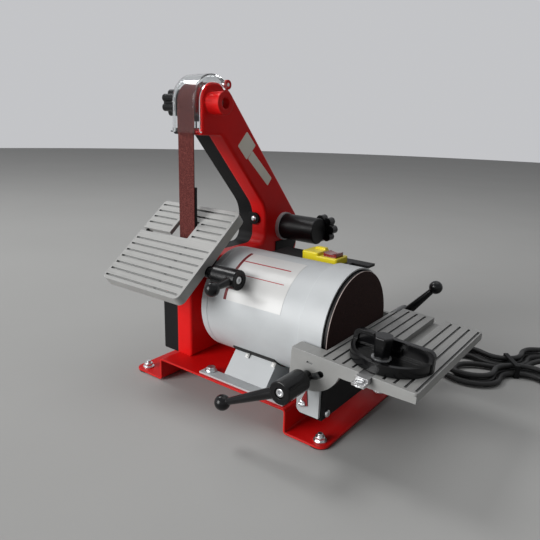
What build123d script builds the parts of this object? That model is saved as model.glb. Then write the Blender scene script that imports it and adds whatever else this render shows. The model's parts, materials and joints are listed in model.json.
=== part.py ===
"""Belt and disc sander, built as separate pieces in one frame.

X runs along the motor shaft with the disc on the plus side, -Y is the front, Z is up.
All sizes are in millimetres. The pieces are drawn about the middle of the base and moved
at the end, so that the origin is the middle of the whole machine's box on the bench.
"""
import os
from math import atan2, cos, degrees, hypot, pi, radians, sin, sqrt, tan

from build123d import *

os.makedirs("parts", exist_ok=True)

# fits
RUN_FIT = 0.05          # radial play of a turning bore
GAP = 0.4               # play between faces that slide past each other
HOLE_PLAY = 0.2         # screw shank in its hole, radial
BELT_GAP = 0.3          # belt to wheel

# base
BASE_L = 190.0          # between the outer faces of the risers
BASE_W = 160.0
BASE_TOP = 30.0
SHEET = 2.0
FOOT_REACH = 48.0       # flange beyond the riser
FOOT_PAD = 1.5          # rubber under the flange
FOOT_BOLT_IN = 12.0     # bolt to flange end
FOOT_BOLT_FRONT = 68.0  # bolt rows from the middle of the base
FOOT_BOLT_REAR = 66.0
HOLD_HOLE_R = 4.25
HOLD_OUT = 12.0         # hold-down hole beyond the riser
BOLT_R = 3.0            # shank of the foot and mount bolts
NUT_R = 5.6
NUT_H = 4.2
WASHER_R = 7.0
WASHER_T = 1.2
BOLT_STANDS = 3.0       # thread above the nut of a foot bolt
PAD_R = 12.0

# motor mount
MOUNT_X0 = -31.0
MOUNT_X1 = 89.0
MOUNT_WEB_X0 = -5.0
MOUNT_WEB_X1 = 55.0
MOUNT_IN = 62.4         # inner edge of the flanges
MOUNT_OUT = 76.5
MOUNT_BOLT_IN = 9.7     # bolt to the flange's end
MOUNT_BOLT_Y = 67.0
MOUNT_TOP_Y = 40.0
MOUNT_LIFT = 16.4       # top of the mount above the motor's underside
MOUNT_PAD = 1.6
MOUNT_PAD_W = 13.0

# motor and disc
AXIS_Z = 104.0
MOTOR_R = 62.4
MOTOR_X0 = -32.0
MOTOR_X1 = 96.5
CAP_LEN = 10.6
MOTOR_WALL = 3.4
MOTOR_SEAM = 0.6        # broken edges where the cap meets the motor
SHAFT_R = 6.0
BEARING_R = 14.0
BEARING_W = 9.0
STATOR_X0 = -6.0
STATOR_LEN = 66.0
ROTOR_R = 34.0
DISC_R = 62.5
COLLAR_ROOM = 1.3       # between the disc's edge and its collar
COLLAR_WALL = 1.7
COLLAR_R = DISC_R + COLLAR_ROOM + COLLAR_WALL
COLLAR_LEN = 28.0
DISC_PLATE = 6.5
DISC_GRIT = 1.0
DISC_FACE = 129.3       # abrasive face

# belt and its wheels
BELT_X = -90.6          # middle of the belt
BELT_W = 25.0
BELT_T = 1.2
WHEEL_W = 27.0
DRIVE_R = 33.5
IDLER_R = 21.0
TOP_Y = -12.5
TOP_Z = 333.0
REAR_Y = 134.6
REAR_Z = 170.0
AXLE_R = 5.0
AXLE_TIP_R = 4.0

# belt housing and cover
SEAM_X = -91.8
HOUSE_X1 = -68.6
COVER_X0 = -118.2
HOUSE_WALL = 3.0
COVER_WALL = 2.5
FRONT_ROOM = 16.8       # belt to the front of the lower box
THROAT_ROOM = 12.5      # drive wheel to the throat floor
THROAT_BACK = 42.0      # rear wheel axis to the throat's back edge
NOSE_FRONT = 17.5       # top wheel axis to the nose front
NOSE_TOP = 23.0
NOSE_LOW = 36.0
ARM_REAR = 32.6         # line of the two idlers to the rear edge
ARM_INNER = 11.5        # same line to the inner edge
REAR_ROOM = 36.0
REAR_LOW = 40.0
NECK_R = 32.0
NECK_WALL = 6.0
BOSS_R = 13.0
BOSS_MOUTH_R = 6.4      # wide mouth of the boss in front of the axle's end
BOSS_LEN = 20.0
HOUSE_EDGE = 3.5        # rounding of the housing's outer face
COVER_EDGE = 3.0
TONGUE_R = 13.5         # end of the cover under its knob
LUG_R = 8.0             # lug of the cover on the throat's back
LUG_T = 3.5
LUG_X = -86.5
LUG_Z = 184.0

# platen
PLATEN_T = 3.0
PLATEN_TOP = 237.0
PLATEN_FOOT = 22.0

# visor
VISOR_R = 30.0
VISOR_T = 2.0
VISOR_X0 = -106.5
VISOR_X1 = -66.0
VISOR_LOW = 300.0
VISOR_ROUND = 8.0       # rounding of the left end
VISOR_CORNER = 3.5      # and of the right one
VISOR_SIDE = 6.2        # depth of the side walls
VISOR_LIP = 2.5
VISOR_LIP_T = 1.5
KNUCKLE_R = 4.2
KNUCKLE_L = 8.0
VISOR_BACK = 40.0       # degrees above level where the sheet ends at the back
HINGE_Y = 14.0
HINGE_Z = 354.6
PIN_R = 2.0

# tracking
TRACK_R = 18.0
TRACK_LEN = 60.0
TRACK_RING_R = 19.8
TRACK_RING_W = 5.0
TRACK_KNOB_R = 19.5
TRACK_KNOB_X = 53.0     # knob's centre from the housing's face
TRACK_BOSS_R = 6.0
TRACK_DEEP = 26.0       # rear axle's tip inside the tube
TRACK_KNOB_W = 12.0
COVER_KNOB_R = 15.5
COVER_KNOB_W = 20.0

# belt table
BT_TILT = 37.8
BT_OVER = 23.4          # tilt axis above the motor; it lies on the table's face at the belt
BT_Z = AXIS_Z + MOTOR_R + BT_OVER
BT_X0 = -157.0
BT_X1 = -28.0
BT_FRONT = 98.0
BT_BACK = 34.0
BT_PLATE = 5.0
BT_DEPTH = 12.5
BT_RIM = 4.0
BT_OPEN_X0 = -109.0
BT_OPEN_X1 = -76.0
BT_OPEN_FRONT = 18.0
BT_OPEN_BACK = 9.0
BT_SLOT_W = 5.0
BT_STUD_S = 46.5        # stud in front of the tilt axis, with the table level
BT_STUD_H = 16.0        # and below it
GROOVE_PITCH = 10.2
GROOVE_W = 2.6
GROOVE_D = 2.0
GROOVE_IN = 2.5         # closed end of a groove from the table's edge
TABLE_PIN_R = 2.0
TABLE_PIN_IN = 7.0

# disc table
DT_TILT = 2.9
DT_PX = 123.0           # tilt axis
DT_PZ = 101.0
DT_TOP = 103.6
DT_IN = 132.6
DT_OUT = 232.0
DT_Y0 = -85.0
DT_Y1 = 98.0
DT_PLATE = 9.5
DT_APRON = 13.0
DT_RIM = 5.0
DT_WING_X = 103.0
DT_WING_Y = -67.5
DT_ROUND_R = 36.0
DT_SLOT_R = 21.0
DT_SLOT_W = 6.8
MITRE_X = 183.5
MITRE_W = 13.0
MITRE_D = 7.0
MITRE_BAR = 77.0        # length of the bar that lies in the slot
MITRE_NOSE = 7.0        # lower end of the bar in front of that
MITRE_NOSE_T = 2.9
MITRE_PIN_R = 3.0
MITRE_PIN_UP = 3.2      # swivel pin above the table
MITRE_PIVOT = 6.0       # swivel pin in front of the fence
FENCE_IN = 43.0         # front of the fence from the table's front edge
FENCE_T = 4.5
FENCE_H = 21.5
FENCE_L = 82.0
FENCE_OFF = 4.0         # middle of the fence beyond the bar
HEAD_L = 80.0
HEAD_DEEP = 36.0
HEAD_T = 10.0
HEAD_OFF = 3.5
HEAD_RIM = 4.0
HEAD_DISH = 5.5
MITRE_KNOB_X = 1.0      # knob from the bar's middle
MITRE_KNOB_Y = 16.0     # and in front of the fence
MITRE_KNOB_R = 10.4     # over the corners at the top
MITRE_KNOB_FOOT = 8.0   # and at the foot
MITRE_KNOB_H = 21.0
MITRE_STUD = 12.4       # stud above the washer
MITRE_BOSS_R = 8.5
MITRE_BOSS_H = 2.0
MITRE_WASHER_R = 9.4
MITRE_WASHER_T = 1.6

# guards and brackets round the disc
GUARD_Y = 76.0
GUARD_T = 2.4
GUARD_X0 = 110.0
GUARD_X1 = 136.0
GUARD_Z0 = 31.0
GUARD_Z1 = 76.0
BRACKET_IN = 15.0       # bracket's inner edge from the tilt axis
BRACKET_OUT = 11.0
BRACKET_LOW = 34.0
BRACKET_TOP = 88.0
BRACKET_T = 3.4
POINTER_T = 1.2
SMALL_SCREW_R = 2.0
SMALL_HEAD_R = 4.0
SMALL_HEAD_H = 2.6

# levers
STUD_R = 3.0
HUB_R = 11.4
HUB_LEN = 34.0
LEVER_NECK = 12.0       # thin end of a disc table lever
BELT_NECK = 10.0
LEVER_NECK_R = 5.5
BALL_R = 8.2
ARM_R0 = 6.2
ARM_R1 = 3.6
SCREW_R = 4.4
LEVER_CLOSED = 14.0     # solid end of the hub beyond the stud
FRONT_ARM_U = -70.5     # ball of each lever from its hub, across and up
FRONT_ARM_V = -35.6
REAR_ARM_U = 36.5
REAR_ARM_V = -43.5
BELT_ARM_U = 2.0
BELT_ARM_V = -37.0
LEVER_LEAN = 6.0        # ball beyond the hub's end
BELT_LEAN = 3.0

# switch
SW_Y = 46.0
SW_DROP = 13.4          # bracket's shelf below the motor's top
SW_Z = AXIS_Z + MOTOR_R - SW_DROP
SW_WALL = 3.0
SW_SHELF = 45.0
SW_LEFT = 51.0          # shelf's reach to the left of the box
SW_TONGUE = 22.0        # narrow part of the shelf to the right
SW_TONGUE_W = 16.0
SW_WEB_BACK = 27.786    # web's rear face behind the shelf's front edge
SW_WEB_LOW = 96.0
SW_WEB_STEP = 28.0      # height of the web's thick foot
SW_ROCKER_W = 17.0
SW_ROCKER_L = 17.0
ROCKER_PIN_R = 1.5
SW_X0 = 23.0
SW_X1 = 72.0
SW_DEEP = 28.0
SW_LOW = 8.0
SW_HIGH = 11.6
SW_STEP = 23.0          # length of the box's high part

# lead
CORD_D = 7.0
HANK_PITCH = 7.5
HANK_X = 240.0
HANK_Y = 236.0
HANK_TURN = 36.0
HANK_LOBE = 48.0        # half width of a lobe
HANK_BEND = 30.0        # bend radius between lobe and waist
HANK_Z = 5.0

parts = {}


def box(x0, x1, y0, y1, z0, z1):
    return Pos((x0 + x1) / 2, (y0 + y1) / 2, (z0 + z1) / 2) * Box(x1 - x0, y1 - y0, z1 - z0)


def cyl_x(r, x0, x1, y=0.0, z=0.0):
    return Pos((x0 + x1) / 2, y, z) * Rot(0, 90, 0) * Cylinder(r, x1 - x0)


def cyl_y(r, y0, y1, x=0.0, z=0.0):
    return Pos(x, (y0 + y1) / 2, z) * Rot(90, 0, 0) * Cylinder(r, y1 - y0)


def cyl_z(r, z0, z1, x=0.0, y=0.0):
    return Pos(x, y, (z0 + z1) / 2) * Cylinder(r, z1 - z0)


def rounded(points, radii):
    return make_face(FilletPolyline(*points, radius=radii, close=True))


def along_x(face, x0, x1):
    return extrude(Plane(origin=(x0, 0, 0), x_dir=(0, 1, 0), z_dir=(1, 0, 0)) * face, x1 - x0)


def along_y(face, y0, y1):
    return extrude(Plane(origin=(0, y1, 0), x_dir=(1, 0, 0), z_dir=(0, -1, 0)) * face, y1 - y0)


def along_z(face, z0, z1):
    return extrude(Plane(origin=(0, 0, z0)) * face, z1 - z0)


def group(pieces):
    return Compound(children=list(pieces))


def hex_screw(head_r, head_h, shank_r, shank_len):
    """Hexagon screw with its washer face at z 0, head up."""
    head = extrude(RegularPolygon(head_r, 6), head_h)
    top = cyl_z(head_r * 0.98, 0, head_h)
    head &= chamfer(top.edges().group_by(Axis.Z)[-1], head_h * 0.2)
    return head + cyl_z(shank_r, -shank_len, 0)


def pan_screw(head_r, head_h, shank_r, shank_len):
    head = fillet(cyl_z(head_r, 0, head_h).edges().group_by(Axis.Z)[-1], head_h * 0.6)
    slot = box(-head_r, head_r, -0.5, 0.5, head_h * 0.6, head_h * 1.5)
    return head - slot + cyl_z(shank_r, -shank_len, 0)


def arc_slot(cu, cv, r, width, a0, a1):
    """Face of a curved slot; angles in degrees from straight down, plus towards +u."""
    def at(radius, a):
        return (cu + radius * sin(radians(a)), cv - radius * cos(radians(a)))

    mid = (a0 + a1) / 2
    outer = r + width / 2
    inner = r - width / 2
    cap = degrees(width / 2 / r)
    edges = [
        ThreePointArc(at(outer, a0), at(outer, mid), at(outer, a1)),
        ThreePointArc(at(outer, a1), at(r, a1 + cap), at(inner, a1)),
        ThreePointArc(at(inner, a1), at(inner, mid), at(inner, a0)),
        ThreePointArc(at(inner, a0), at(r, a0 - cap), at(outer, a0)),
    ]
    return make_face(edges)


def lobed(r, lobes, length):
    """Grip with round lobes, from z 0 up."""
    core = cyl_z(r * 0.74, 0, length)
    for i in range(lobes):
        a = 2 * pi * i / lobes
        core += cyl_z(r * 0.3, 0, length, r * 0.7 * cos(a), r * 0.7 * sin(a))
    return core


def lever_arm(length):
    """Tapered arm along +Z that ends in a ball."""
    meet = length - sqrt(BALL_R ** 2 - ARM_R1 ** 2)
    half = make_face([
        Line((0, 0), (ARM_R0, 0)), Line((ARM_R0, 0), (ARM_R1, meet)),
        ThreePointArc((ARM_R1, meet), (BALL_R, length), (0, length + BALL_R)),
        Line((0, length + BALL_R), (0, 0)),
    ])
    return revolve(Plane.XZ * half, Axis.Z)


def lever(arm_u, arm_v, lean, neck):
    """Clamping lever along +Z: thin neck from the clamping face, hub, arm to a ball, leaning outwards."""
    end = neck + HUB_LEN
    hub = fillet(cyl_z(HUB_R, neck, end).edges(), 1.2) + cyl_z(LEVER_NECK_R, 0, neck + 1)
    start = Vector(0, 0, end - HUB_R * 0.75)
    reach = Vector(arm_u, arm_v, lean)
    body = hub + Plane(origin=start, z_dir=reach) * lever_arm(reach.length)
    body -= cyl_z(STUD_R + RUN_FIT, -1, end - LEVER_CLOSED)
    body -= cyl_z(SCREW_R + 0.8, end - 5, end + 40)
    return body


def lever_screw(neck):
    end = neck + HUB_LEN
    head = fillet(cyl_z(SCREW_R, end - 5, end - 0.6).edges().group_by(Axis.Z)[-1], 1.0)
    return head - extrude(Pos(0, 0, end - 2.6) * RegularPolygon(2.3, 6), 4)


# base plate, feet and their bolts
half_l = BASE_L / 2
foot_end = half_l + FOOT_REACH
flange_top = FOOT_PAD + SHEET
outline = [
    (-foot_end, FOOT_PAD), (-half_l + SHEET, FOOT_PAD), (-half_l + SHEET, BASE_TOP - SHEET),
    (half_l - SHEET, BASE_TOP - SHEET), (half_l - SHEET, FOOT_PAD), (foot_end, FOOT_PAD),
    (foot_end, flange_top), (half_l, flange_top), (half_l, BASE_TOP),
    (-half_l, BASE_TOP), (-half_l, flange_top), (-foot_end, flange_top),
]
bends = [0, 4, 2, 2, 4, 0, 0, 2, 4, 4, 2, 0]
base = along_y(rounded(outline, bends), -BASE_W / 2, BASE_W / 2)
corners = [e for e in base.edges().filter_by(Axis.Z) if abs(abs(e.center().X) - foot_end) < 0.01]
base = fillet(corners, 10)
foot_x = foot_end - FOOT_BOLT_IN
feet = []
foot_screws = []
for sx in (-1, 1):
    base -= cyl_z(HOLD_HOLE_R, 0, 8, sx * (half_l + HOLD_OUT), 0)
    for foot_y in (-FOOT_BOLT_FRONT, FOOT_BOLT_REAR):
        spot = Pos(sx * foot_x, foot_y, 0)
        base -= spot * cyl_z(BOLT_R + HOLE_PLAY, 0, 8)
        pad = fillet(cyl_z(PAD_R, 0, FOOT_PAD).edges().group_by(Axis.Z)[0], 0.5)
        feet.append(spot * (pad - cyl_z(BOLT_R + HOLE_PLAY, 0.5, 8)))
        bolt = hex_screw(NUT_R, NUT_H, BOLT_R, flange_top - 0.6 + WASHER_T)
        tip = cyl_z(BOLT_R, NUT_H, NUT_H + BOLT_STANDS)
        bolt += chamfer(tip.edges().group_by(Axis.Z)[-1], 0.6) + cyl_z(WASHER_R, -WASHER_T, 0)
        foot_screws.append(spot * Pos(0, 0, flange_top + WASHER_T) * bolt)

# motor mount on the platform
web_top_z = AXIS_Z - MOTOR_R + MOUNT_LIFT
mount_top = BASE_TOP + SHEET
trapeze = make_face(Polyline((-MOUNT_IN - 1, BASE_TOP), (-MOUNT_TOP_Y, web_top_z), (MOUNT_TOP_Y, web_top_z),
                             (MOUNT_IN + 1, BASE_TOP), close=True))
hollow_y, hollow_z = MOUNT_TOP_Y - SHEET, web_top_z - SHEET
hollow = make_face(Polyline((-MOUNT_IN + SHEET, BASE_TOP), (-hollow_y, hollow_z), (hollow_y, hollow_z),
                            (MOUNT_IN - SHEET, BASE_TOP), close=True))
motor_room = cyl_x(MOTOR_R + MOUNT_PAD, MOUNT_X0 - 5, MOUNT_X1 + 5, 0, AXIS_Z)
mount = along_x(trapeze, MOUNT_WEB_X0, MOUNT_WEB_X1)
mount -= along_x(hollow, MOUNT_WEB_X0 + SHEET, MOUNT_WEB_X1 - SHEET) + motor_room
mount += box(MOUNT_WEB_X1 - SHEET, MOUNT_X1, -MOUNT_IN - 1, MOUNT_IN + 1, BASE_TOP, mount_top)
mount_screws = []
for sy in (-1, 1):
    y0, y1 = sorted((sy * MOUNT_IN, sy * MOUNT_OUT))
    mount += box(MOUNT_X0, MOUNT_X1, y0, y1, BASE_TOP, mount_top)
    for bx in (MOUNT_X0 + MOUNT_BOLT_IN, MOUNT_X1 - MOUNT_BOLT_IN):
        cut = cyl_z(BOLT_R + HOLE_PLAY, BASE_TOP - 5, mount_top + 5, bx, sy * MOUNT_BOLT_Y)
        mount -= cut
        base -= cut
        bolt = hex_screw(NUT_R, NUT_H, BOLT_R, SHEET * 2 + 4) + cyl_z(WASHER_R, -WASHER_T, 0)
        mount_screws.append(Pos(bx, sy * MOUNT_BOLT_Y, mount_top + WASHER_T) * bolt)
ring = cyl_x(MOTOR_R + MOUNT_PAD, MOUNT_WEB_X0, MOUNT_WEB_X1, 0, AXIS_Z)
ring -= cyl_x(MOTOR_R, MOUNT_WEB_X0 - 1, MOUNT_WEB_X1 + 1, 0, AXIS_Z)
pads = []
for sy in (-1, 1):
    y0, y1 = sorted((sy * (MOUNT_TOP_Y + MOUNT_PAD_W / 2), sy * (MOUNT_TOP_Y - MOUNT_PAD_W / 2)))
    pads.append(ring & box(MOUNT_WEB_X0, MOUNT_WEB_X1, y0, y1, BASE_TOP, AXIS_Z))

# motor
motor = cyl_x(MOTOR_R, MOTOR_X0, MOTOR_X1, 0, AXIS_Z)
motor = chamfer(motor.edges().group_by(Axis.X)[0], MOTOR_SEAM)
motor = chamfer(motor.edges().group_by(Axis.X)[-1], MOTOR_SEAM)
motor -= cyl_x(MOTOR_R - MOTOR_WALL, MOTOR_X0 - 1, MOTOR_X1 - 11, 0, AXIS_Z)
motor -= cyl_x(BEARING_R, MOTOR_X1 - 12, MOTOR_X1 - 2, 0, AXIS_Z)
motor -= cyl_x(SHAFT_R + 2, MOTOR_X1 - 14, MOTOR_X1 + 1, 0, AXIS_Z)
cap_x0 = MOTOR_X0 - CAP_LEN
cap = cyl_x(MOTOR_R, cap_x0, MOTOR_X0, 0, AXIS_Z)
cap = chamfer(cap.edges().group_by(Axis.X)[-1], MOTOR_SEAM)
cap = fillet(cap.edges().group_by(Axis.X)[0], 3.5)
cap -= cyl_x(MOTOR_R - MOTOR_WALL, cap_x0 + 5, MOTOR_X0 + 1, 0, AXIS_Z)
cap += cyl_x(BEARING_R + 3, cap_x0 + 4, MOTOR_X0 + 2, 0, AXIS_Z)
cap -= cyl_x(BEARING_R, cap_x0 + 3, MOTOR_X0 + 3, 0, AXIS_Z)
cap -= cyl_x(SHAFT_R + 2, cap_x0 - 1, MOTOR_X0 + 3, 0, AXIS_Z)
bearings = []
for bx0 in (cap_x0 + 3, MOTOR_X1 - 2 - BEARING_W):
    bearings.append(cyl_x(BEARING_R, bx0, bx0 + BEARING_W, 0, AXIS_Z)
                    - cyl_x(SHAFT_R + RUN_FIT, bx0 - 1, bx0 + BEARING_W + 1, 0, AXIS_Z))
stator_x1 = STATOR_X0 + STATOR_LEN
stator = cyl_x(MOTOR_R - MOTOR_WALL, STATOR_X0, stator_x1, 0, AXIS_Z)
stator -= cyl_x(ROTOR_R + 1, STATOR_X0 - 1, stator_x1 + 1, 0, AXIS_Z)
disc_back = DISC_FACE - DISC_GRIT - DISC_PLATE
shaft_x0 = BELT_X - WHEEL_W / 2 - 3
shaft = cyl_x(SHAFT_R, shaft_x0, disc_back + 4, 0, AXIS_Z)
rotor = cyl_x(ROTOR_R, STATOR_X0, stator_x1, 0, AXIS_Z)
rotor -= cyl_x(SHAFT_R, STATOR_X0 - 1, stator_x1 + 1, 0, AXIS_Z)
disc_plate = cyl_x(DISC_R, disc_back, DISC_FACE - DISC_GRIT, 0, AXIS_Z)
disc_plate += cyl_x(16, disc_back - 14, disc_back, 0, AXIS_Z)
disc_plate -= cyl_x(SHAFT_R, disc_back - 20, disc_back + 4, 0, AXIS_Z)
grit = cyl_x(DISC_R, DISC_FACE - DISC_GRIT, DISC_FACE, 0, AXIS_Z)
collar_x1 = MOTOR_X1 + COLLAR_LEN
collar = cyl_x(COLLAR_R, MOTOR_X1, collar_x1, 0, AXIS_Z)
collar -= cyl_x(COLLAR_R - COLLAR_WALL, MOTOR_X1 + 3, collar_x1 + 1, 0, AXIS_Z)
collar -= cyl_x(22, MOTOR_X1 - 1, collar_x1, 0, AXIS_Z)


# belt path round the three wheels
def tangent_normal(c1, r1, c2, r2):
    dy, dz = c2[0] - c1[0], c2[1] - c1[1]
    span = hypot(dy, dz)
    dy, dz = dy / span, dz / span
    k = (r1 - r2) / span
    h = sqrt(1 - k * k)
    return (dy * k + dz * h, dz * k - dy * h)


wheels = [((0.0, AXIS_Z), DRIVE_R), ((REAR_Y, REAR_Z), IDLER_R), ((TOP_Y, TOP_Z), IDLER_R)]


def loop_wire(extra):
    """Edges of the loop that hugs the wheels at a set distance, and its length."""
    normals = []
    for i in range(3):
        c1, r1 = wheels[i]
        c2, r2 = wheels[(i + 1) % 3]
        normals.append(tangent_normal(c1, r1 + extra, c2, r2 + extra))
    edges = []
    for i in range(3):
        c, r = wheels[i]
        r += extra
        n_in, n_out = normals[i - 1], normals[i]
        my, mz = n_in[0] + n_out[0], n_in[1] + n_out[1]
        m = hypot(my, mz)
        p_in = (c[0] + r * n_in[0], c[1] + r * n_in[1])
        p_out = (c[0] + r * n_out[0], c[1] + r * n_out[1])
        edges.append(ThreePointArc(p_in, (c[0] + r * my / m, c[1] + r * mz / m), p_out))
        c2, r2 = wheels[(i + 1) % 3]
        r2 += extra
        edges.append(Line(p_out, (c2[0] + r2 * n_out[0], c2[1] + r2 * n_out[1])))
    return edges, sum(e.length for e in edges)


belt_in, _ = loop_wire(BELT_GAP)
belt_out, _ = loop_wire(BELT_GAP + BELT_T)
_, belt_len = loop_wire(BELT_GAP + BELT_T / 2)
print("belt length", round(belt_len, 1))
belt_x0, belt_x1 = BELT_X - BELT_W / 2, BELT_X + BELT_W / 2
belt = along_x(make_face(belt_out), belt_x0, belt_x1) - along_x(make_face(belt_in), belt_x0 - 1, belt_x1 + 1)
belt_front = -DRIVE_R - BELT_GAP - BELT_T
wheel_x0, wheel_x1 = BELT_X - WHEEL_W / 2, BELT_X + WHEEL_W / 2


def wheel(r, bore, y, z):
    body = cyl_x(r, wheel_x0, wheel_x1, y, z)
    body -= cyl_x(r - 5, wheel_x0 - 1, wheel_x0 + 6, y, z) - cyl_x(bore + 5, wheel_x0 - 1, wheel_x0 + 6, y, z)
    return body - cyl_x(bore, wheel_x0 - 1, wheel_x1 + 1, y, z)


drive_wheel = wheel(DRIVE_R, SHAFT_R, 0, AXIS_Z)
top_wheel = wheel(IDLER_R, AXLE_R + RUN_FIT, TOP_Y, TOP_Z)
rear_wheel = wheel(IDLER_R, AXLE_R + RUN_FIT, REAR_Y, REAR_Z)

# outline shared by the housing and its cover
lean_y, lean_z = REAR_Y - TOP_Y, REAR_Z - TOP_Z
lean_l = hypot(lean_y, lean_z)
lean_y, lean_z = lean_y / lean_l, lean_z / lean_l
side_y, side_z = -lean_z, lean_y


def on_lean(offset, y=None, z=None):
    """Point of a line beside the idlers' line, at a given y or z."""
    oy, oz = TOP_Y + side_y * offset, TOP_Z + side_z * offset
    t = (y - oy) / lean_y if z is None else (z - oz) / lean_z
    return (oy + lean_y * t, oz + lean_z * t)


box_front = belt_front - FRONT_ROOM
throat_floor = AXIS_Z + DRIVE_R + THROAT_ROOM
throat_y = REAR_Y - THROAT_BACK
nose_low, nose_top = TOP_Z - NOSE_LOW, TOP_Z + NOSE_TOP
nose_y = TOP_Y - NOSE_FRONT
rear_y = REAR_Y + REAR_ROOM
profile = [
    (box_front, BASE_TOP), (box_front, throat_floor), (throat_y, throat_floor),
    on_lean(-ARM_INNER, y=throat_y), on_lean(-ARM_INNER, z=nose_low), (nose_y, nose_low), (nose_y, nose_top),
    on_lean(ARM_REAR, z=nose_top), on_lean(ARM_REAR, y=rear_y), (rear_y, REAR_Z - REAR_LOW),
    (62, BASE_TOP + 18), (48, BASE_TOP),
]
profile_r = [0.5, 8, 14, 40, 8, 3, 20, 36, 24, 24, 16, 4]
skin = rounded(profile, profile_r)
pan_hollow = offset(skin, amount=-HOUSE_WALL)
cover_hollow = offset(skin, amount=-COVER_WALL)
nose_cut = box(-130, HOUSE_X1 - HOUSE_WALL, nose_y - 30, 16, nose_low + 7, nose_top + 40)
belt_cut = box(-107, -74, belt_front - 3, belt_front + 5.5, throat_floor - 10, throat_floor + 3)
housing = along_x(skin, SEAM_X, HOUSE_X1)
housing = fillet(housing.faces().sort_by(Axis.X)[-1].edges(), HOUSE_EDGE)
housing -= along_x(pan_hollow, SEAM_X - 1, HOUSE_X1 - HOUSE_WALL)
housing = housing - nose_cut - belt_cut
neck = cyl_x(NECK_R, HOUSE_X1 - 1, cap_x0, 0, AXIS_Z)
neck -= cyl_x(NECK_R - NECK_WALL, HOUSE_X1 - 5, cap_x0 + 1, 0, AXIS_Z)
neck = neck & box(-200, 200, -200, 200, BASE_TOP, 400)
housing += neck
housing -= cyl_x(18, HOUSE_X1 - 9, HOUSE_X1 + 1, 0, AXIS_Z)
boss_x1 = HOUSE_X1 + BOSS_LEN
housing += cyl_x(BOSS_R, HOUSE_X1 - 1, boss_x1, TOP_Y, TOP_Z)
housing -= cyl_x(AXLE_R, HOUSE_X1 - 9, boss_x1 + 1, TOP_Y, TOP_Z)
housing -= cyl_x(BOSS_MOUTH_R, boss_x1 - 7, boss_x1 + 1, TOP_Y, TOP_Z)
housing -= cyl_x(AXLE_R, HOUSE_X1 - 9, HOUSE_X1 + 1, REAR_Y, REAR_Z)
housing += cyl_x(5.5, HOUSE_X1 - HOUSE_WALL, HOUSE_X1, HINGE_Y, HINGE_Z)
housing -= cyl_x(PIN_R, HOUSE_X1 - 9, HOUSE_X1 + 1, HINGE_Y, HINGE_Z)
cover_profile = [(y, z + GAP if z < BASE_TOP + 0.1 else z) for y, z in profile]
cover = along_x(rounded(cover_profile, profile_r), COVER_X0, SEAM_X)
cover = fillet(cover.faces().sort_by(Axis.X)[0].edges(), COVER_EDGE)
cover = cover - along_x(cover_hollow, COVER_X0 + COVER_WALL, SEAM_X + 1)
cover_nose = box(COVER_X0 + COVER_WALL, -60, nose_y - 30, 16, nose_low + 7, nose_top + 40)
tongue = cyl_x(TONGUE_R, COVER_X0 - 2, COVER_X0 + COVER_WALL + 2, TOP_Y, TOP_Z)
tongue += box(COVER_X0 - 2, COVER_X0 + COVER_WALL + 2, TOP_Y, 17, TOP_Z - TONGUE_R, TOP_Z + TONGUE_R)
nose_wall = box(COVER_X0 - 1, COVER_X0 + COVER_WALL + 1, nose_y - 30, 16, nose_low + 7, nose_top + 40)
cover = cover - cover_nose - (nose_wall - tongue) - belt_cut
cover -= cyl_x(AXLE_TIP_R + GAP, COVER_X0 - 1, COVER_X0 + 9, TOP_Y, TOP_Z)
cover -= cyl_x(AXLE_TIP_R + GAP, COVER_X0 - 1, COVER_X0 + 9, REAR_Y, REAR_Z)

# axles, tracking and knobs
top_axle = cyl_x(AXLE_R, COVER_X0 + COVER_WALL, boss_x1 - 8, TOP_Y, TOP_Z)
top_axle += cyl_x(AXLE_TIP_R, COVER_X0 - 14, COVER_X0 + COVER_WALL, TOP_Y, TOP_Z)
track_x1 = HOUSE_X1 + TRACK_LEN
rear_axle = cyl_x(AXLE_R, COVER_X0 + COVER_WALL + 4, HOUSE_X1 + 6, REAR_Y, REAR_Z)
rear_axle += cyl_x(AXLE_TIP_R, HOUSE_X1 + 6, HOUSE_X1 + TRACK_DEEP, REAR_Y, REAR_Z)
ring_x1 = HOUSE_X1 + TRACK_RING_W
tracking = cyl_x(TRACK_R, ring_x1, track_x1, REAR_Y, REAR_Z)
tracking = fillet(tracking.edges().group_by(Axis.X)[-1], 1.5)
tracking -= cyl_x(AXLE_R, HOUSE_X1 - 1, HOUSE_X1 + 6, REAR_Y, REAR_Z)
tracking -= cyl_x(AXLE_TIP_R, HOUSE_X1, HOUSE_X1 + TRACK_DEEP, REAR_Y, REAR_Z)
knob_x = HOUSE_X1 + TRACK_KNOB_X
knob_y0 = REAR_Y + TRACK_R + 0.1 + GAP
tracking += cyl_y(TRACK_BOSS_R, REAR_Y, knob_y0 - GAP, knob_x, REAR_Z)
tracking += cyl_y(AXLE_TIP_R, REAR_Y, knob_y0 + TRACK_KNOB_W - 3, knob_x, REAR_Z)
track_ring = cyl_x(TRACK_RING_R, HOUSE_X1, ring_x1, REAR_Y, REAR_Z)
track_ring -= cyl_x(AXLE_R, HOUSE_X1 - 1, ring_x1 + 1, REAR_Y, REAR_Z)
track_knob = Pos(knob_x, knob_y0, REAR_Z) * Rot(-90, 0, 0) * lobed(TRACK_KNOB_R, 7, TRACK_KNOB_W)
track_knob -= cyl_y(AXLE_TIP_R + RUN_FIT, knob_y0 - 1, knob_y0 + TRACK_KNOB_W - 2.6, knob_x, REAR_Z)
knob_x1 = COVER_X0 - GAP
cover_knob = Pos(knob_x1, TOP_Y, TOP_Z) * Rot(0, -90, 0) * lobed(COVER_KNOB_R, 6, COVER_KNOB_W)
cover_knob -= cyl_x(AXLE_TIP_R + RUN_FIT, COVER_X0 - 14.4, COVER_X0, TOP_Y, TOP_Z)
lug_y = throat_y - LUG_T
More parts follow.
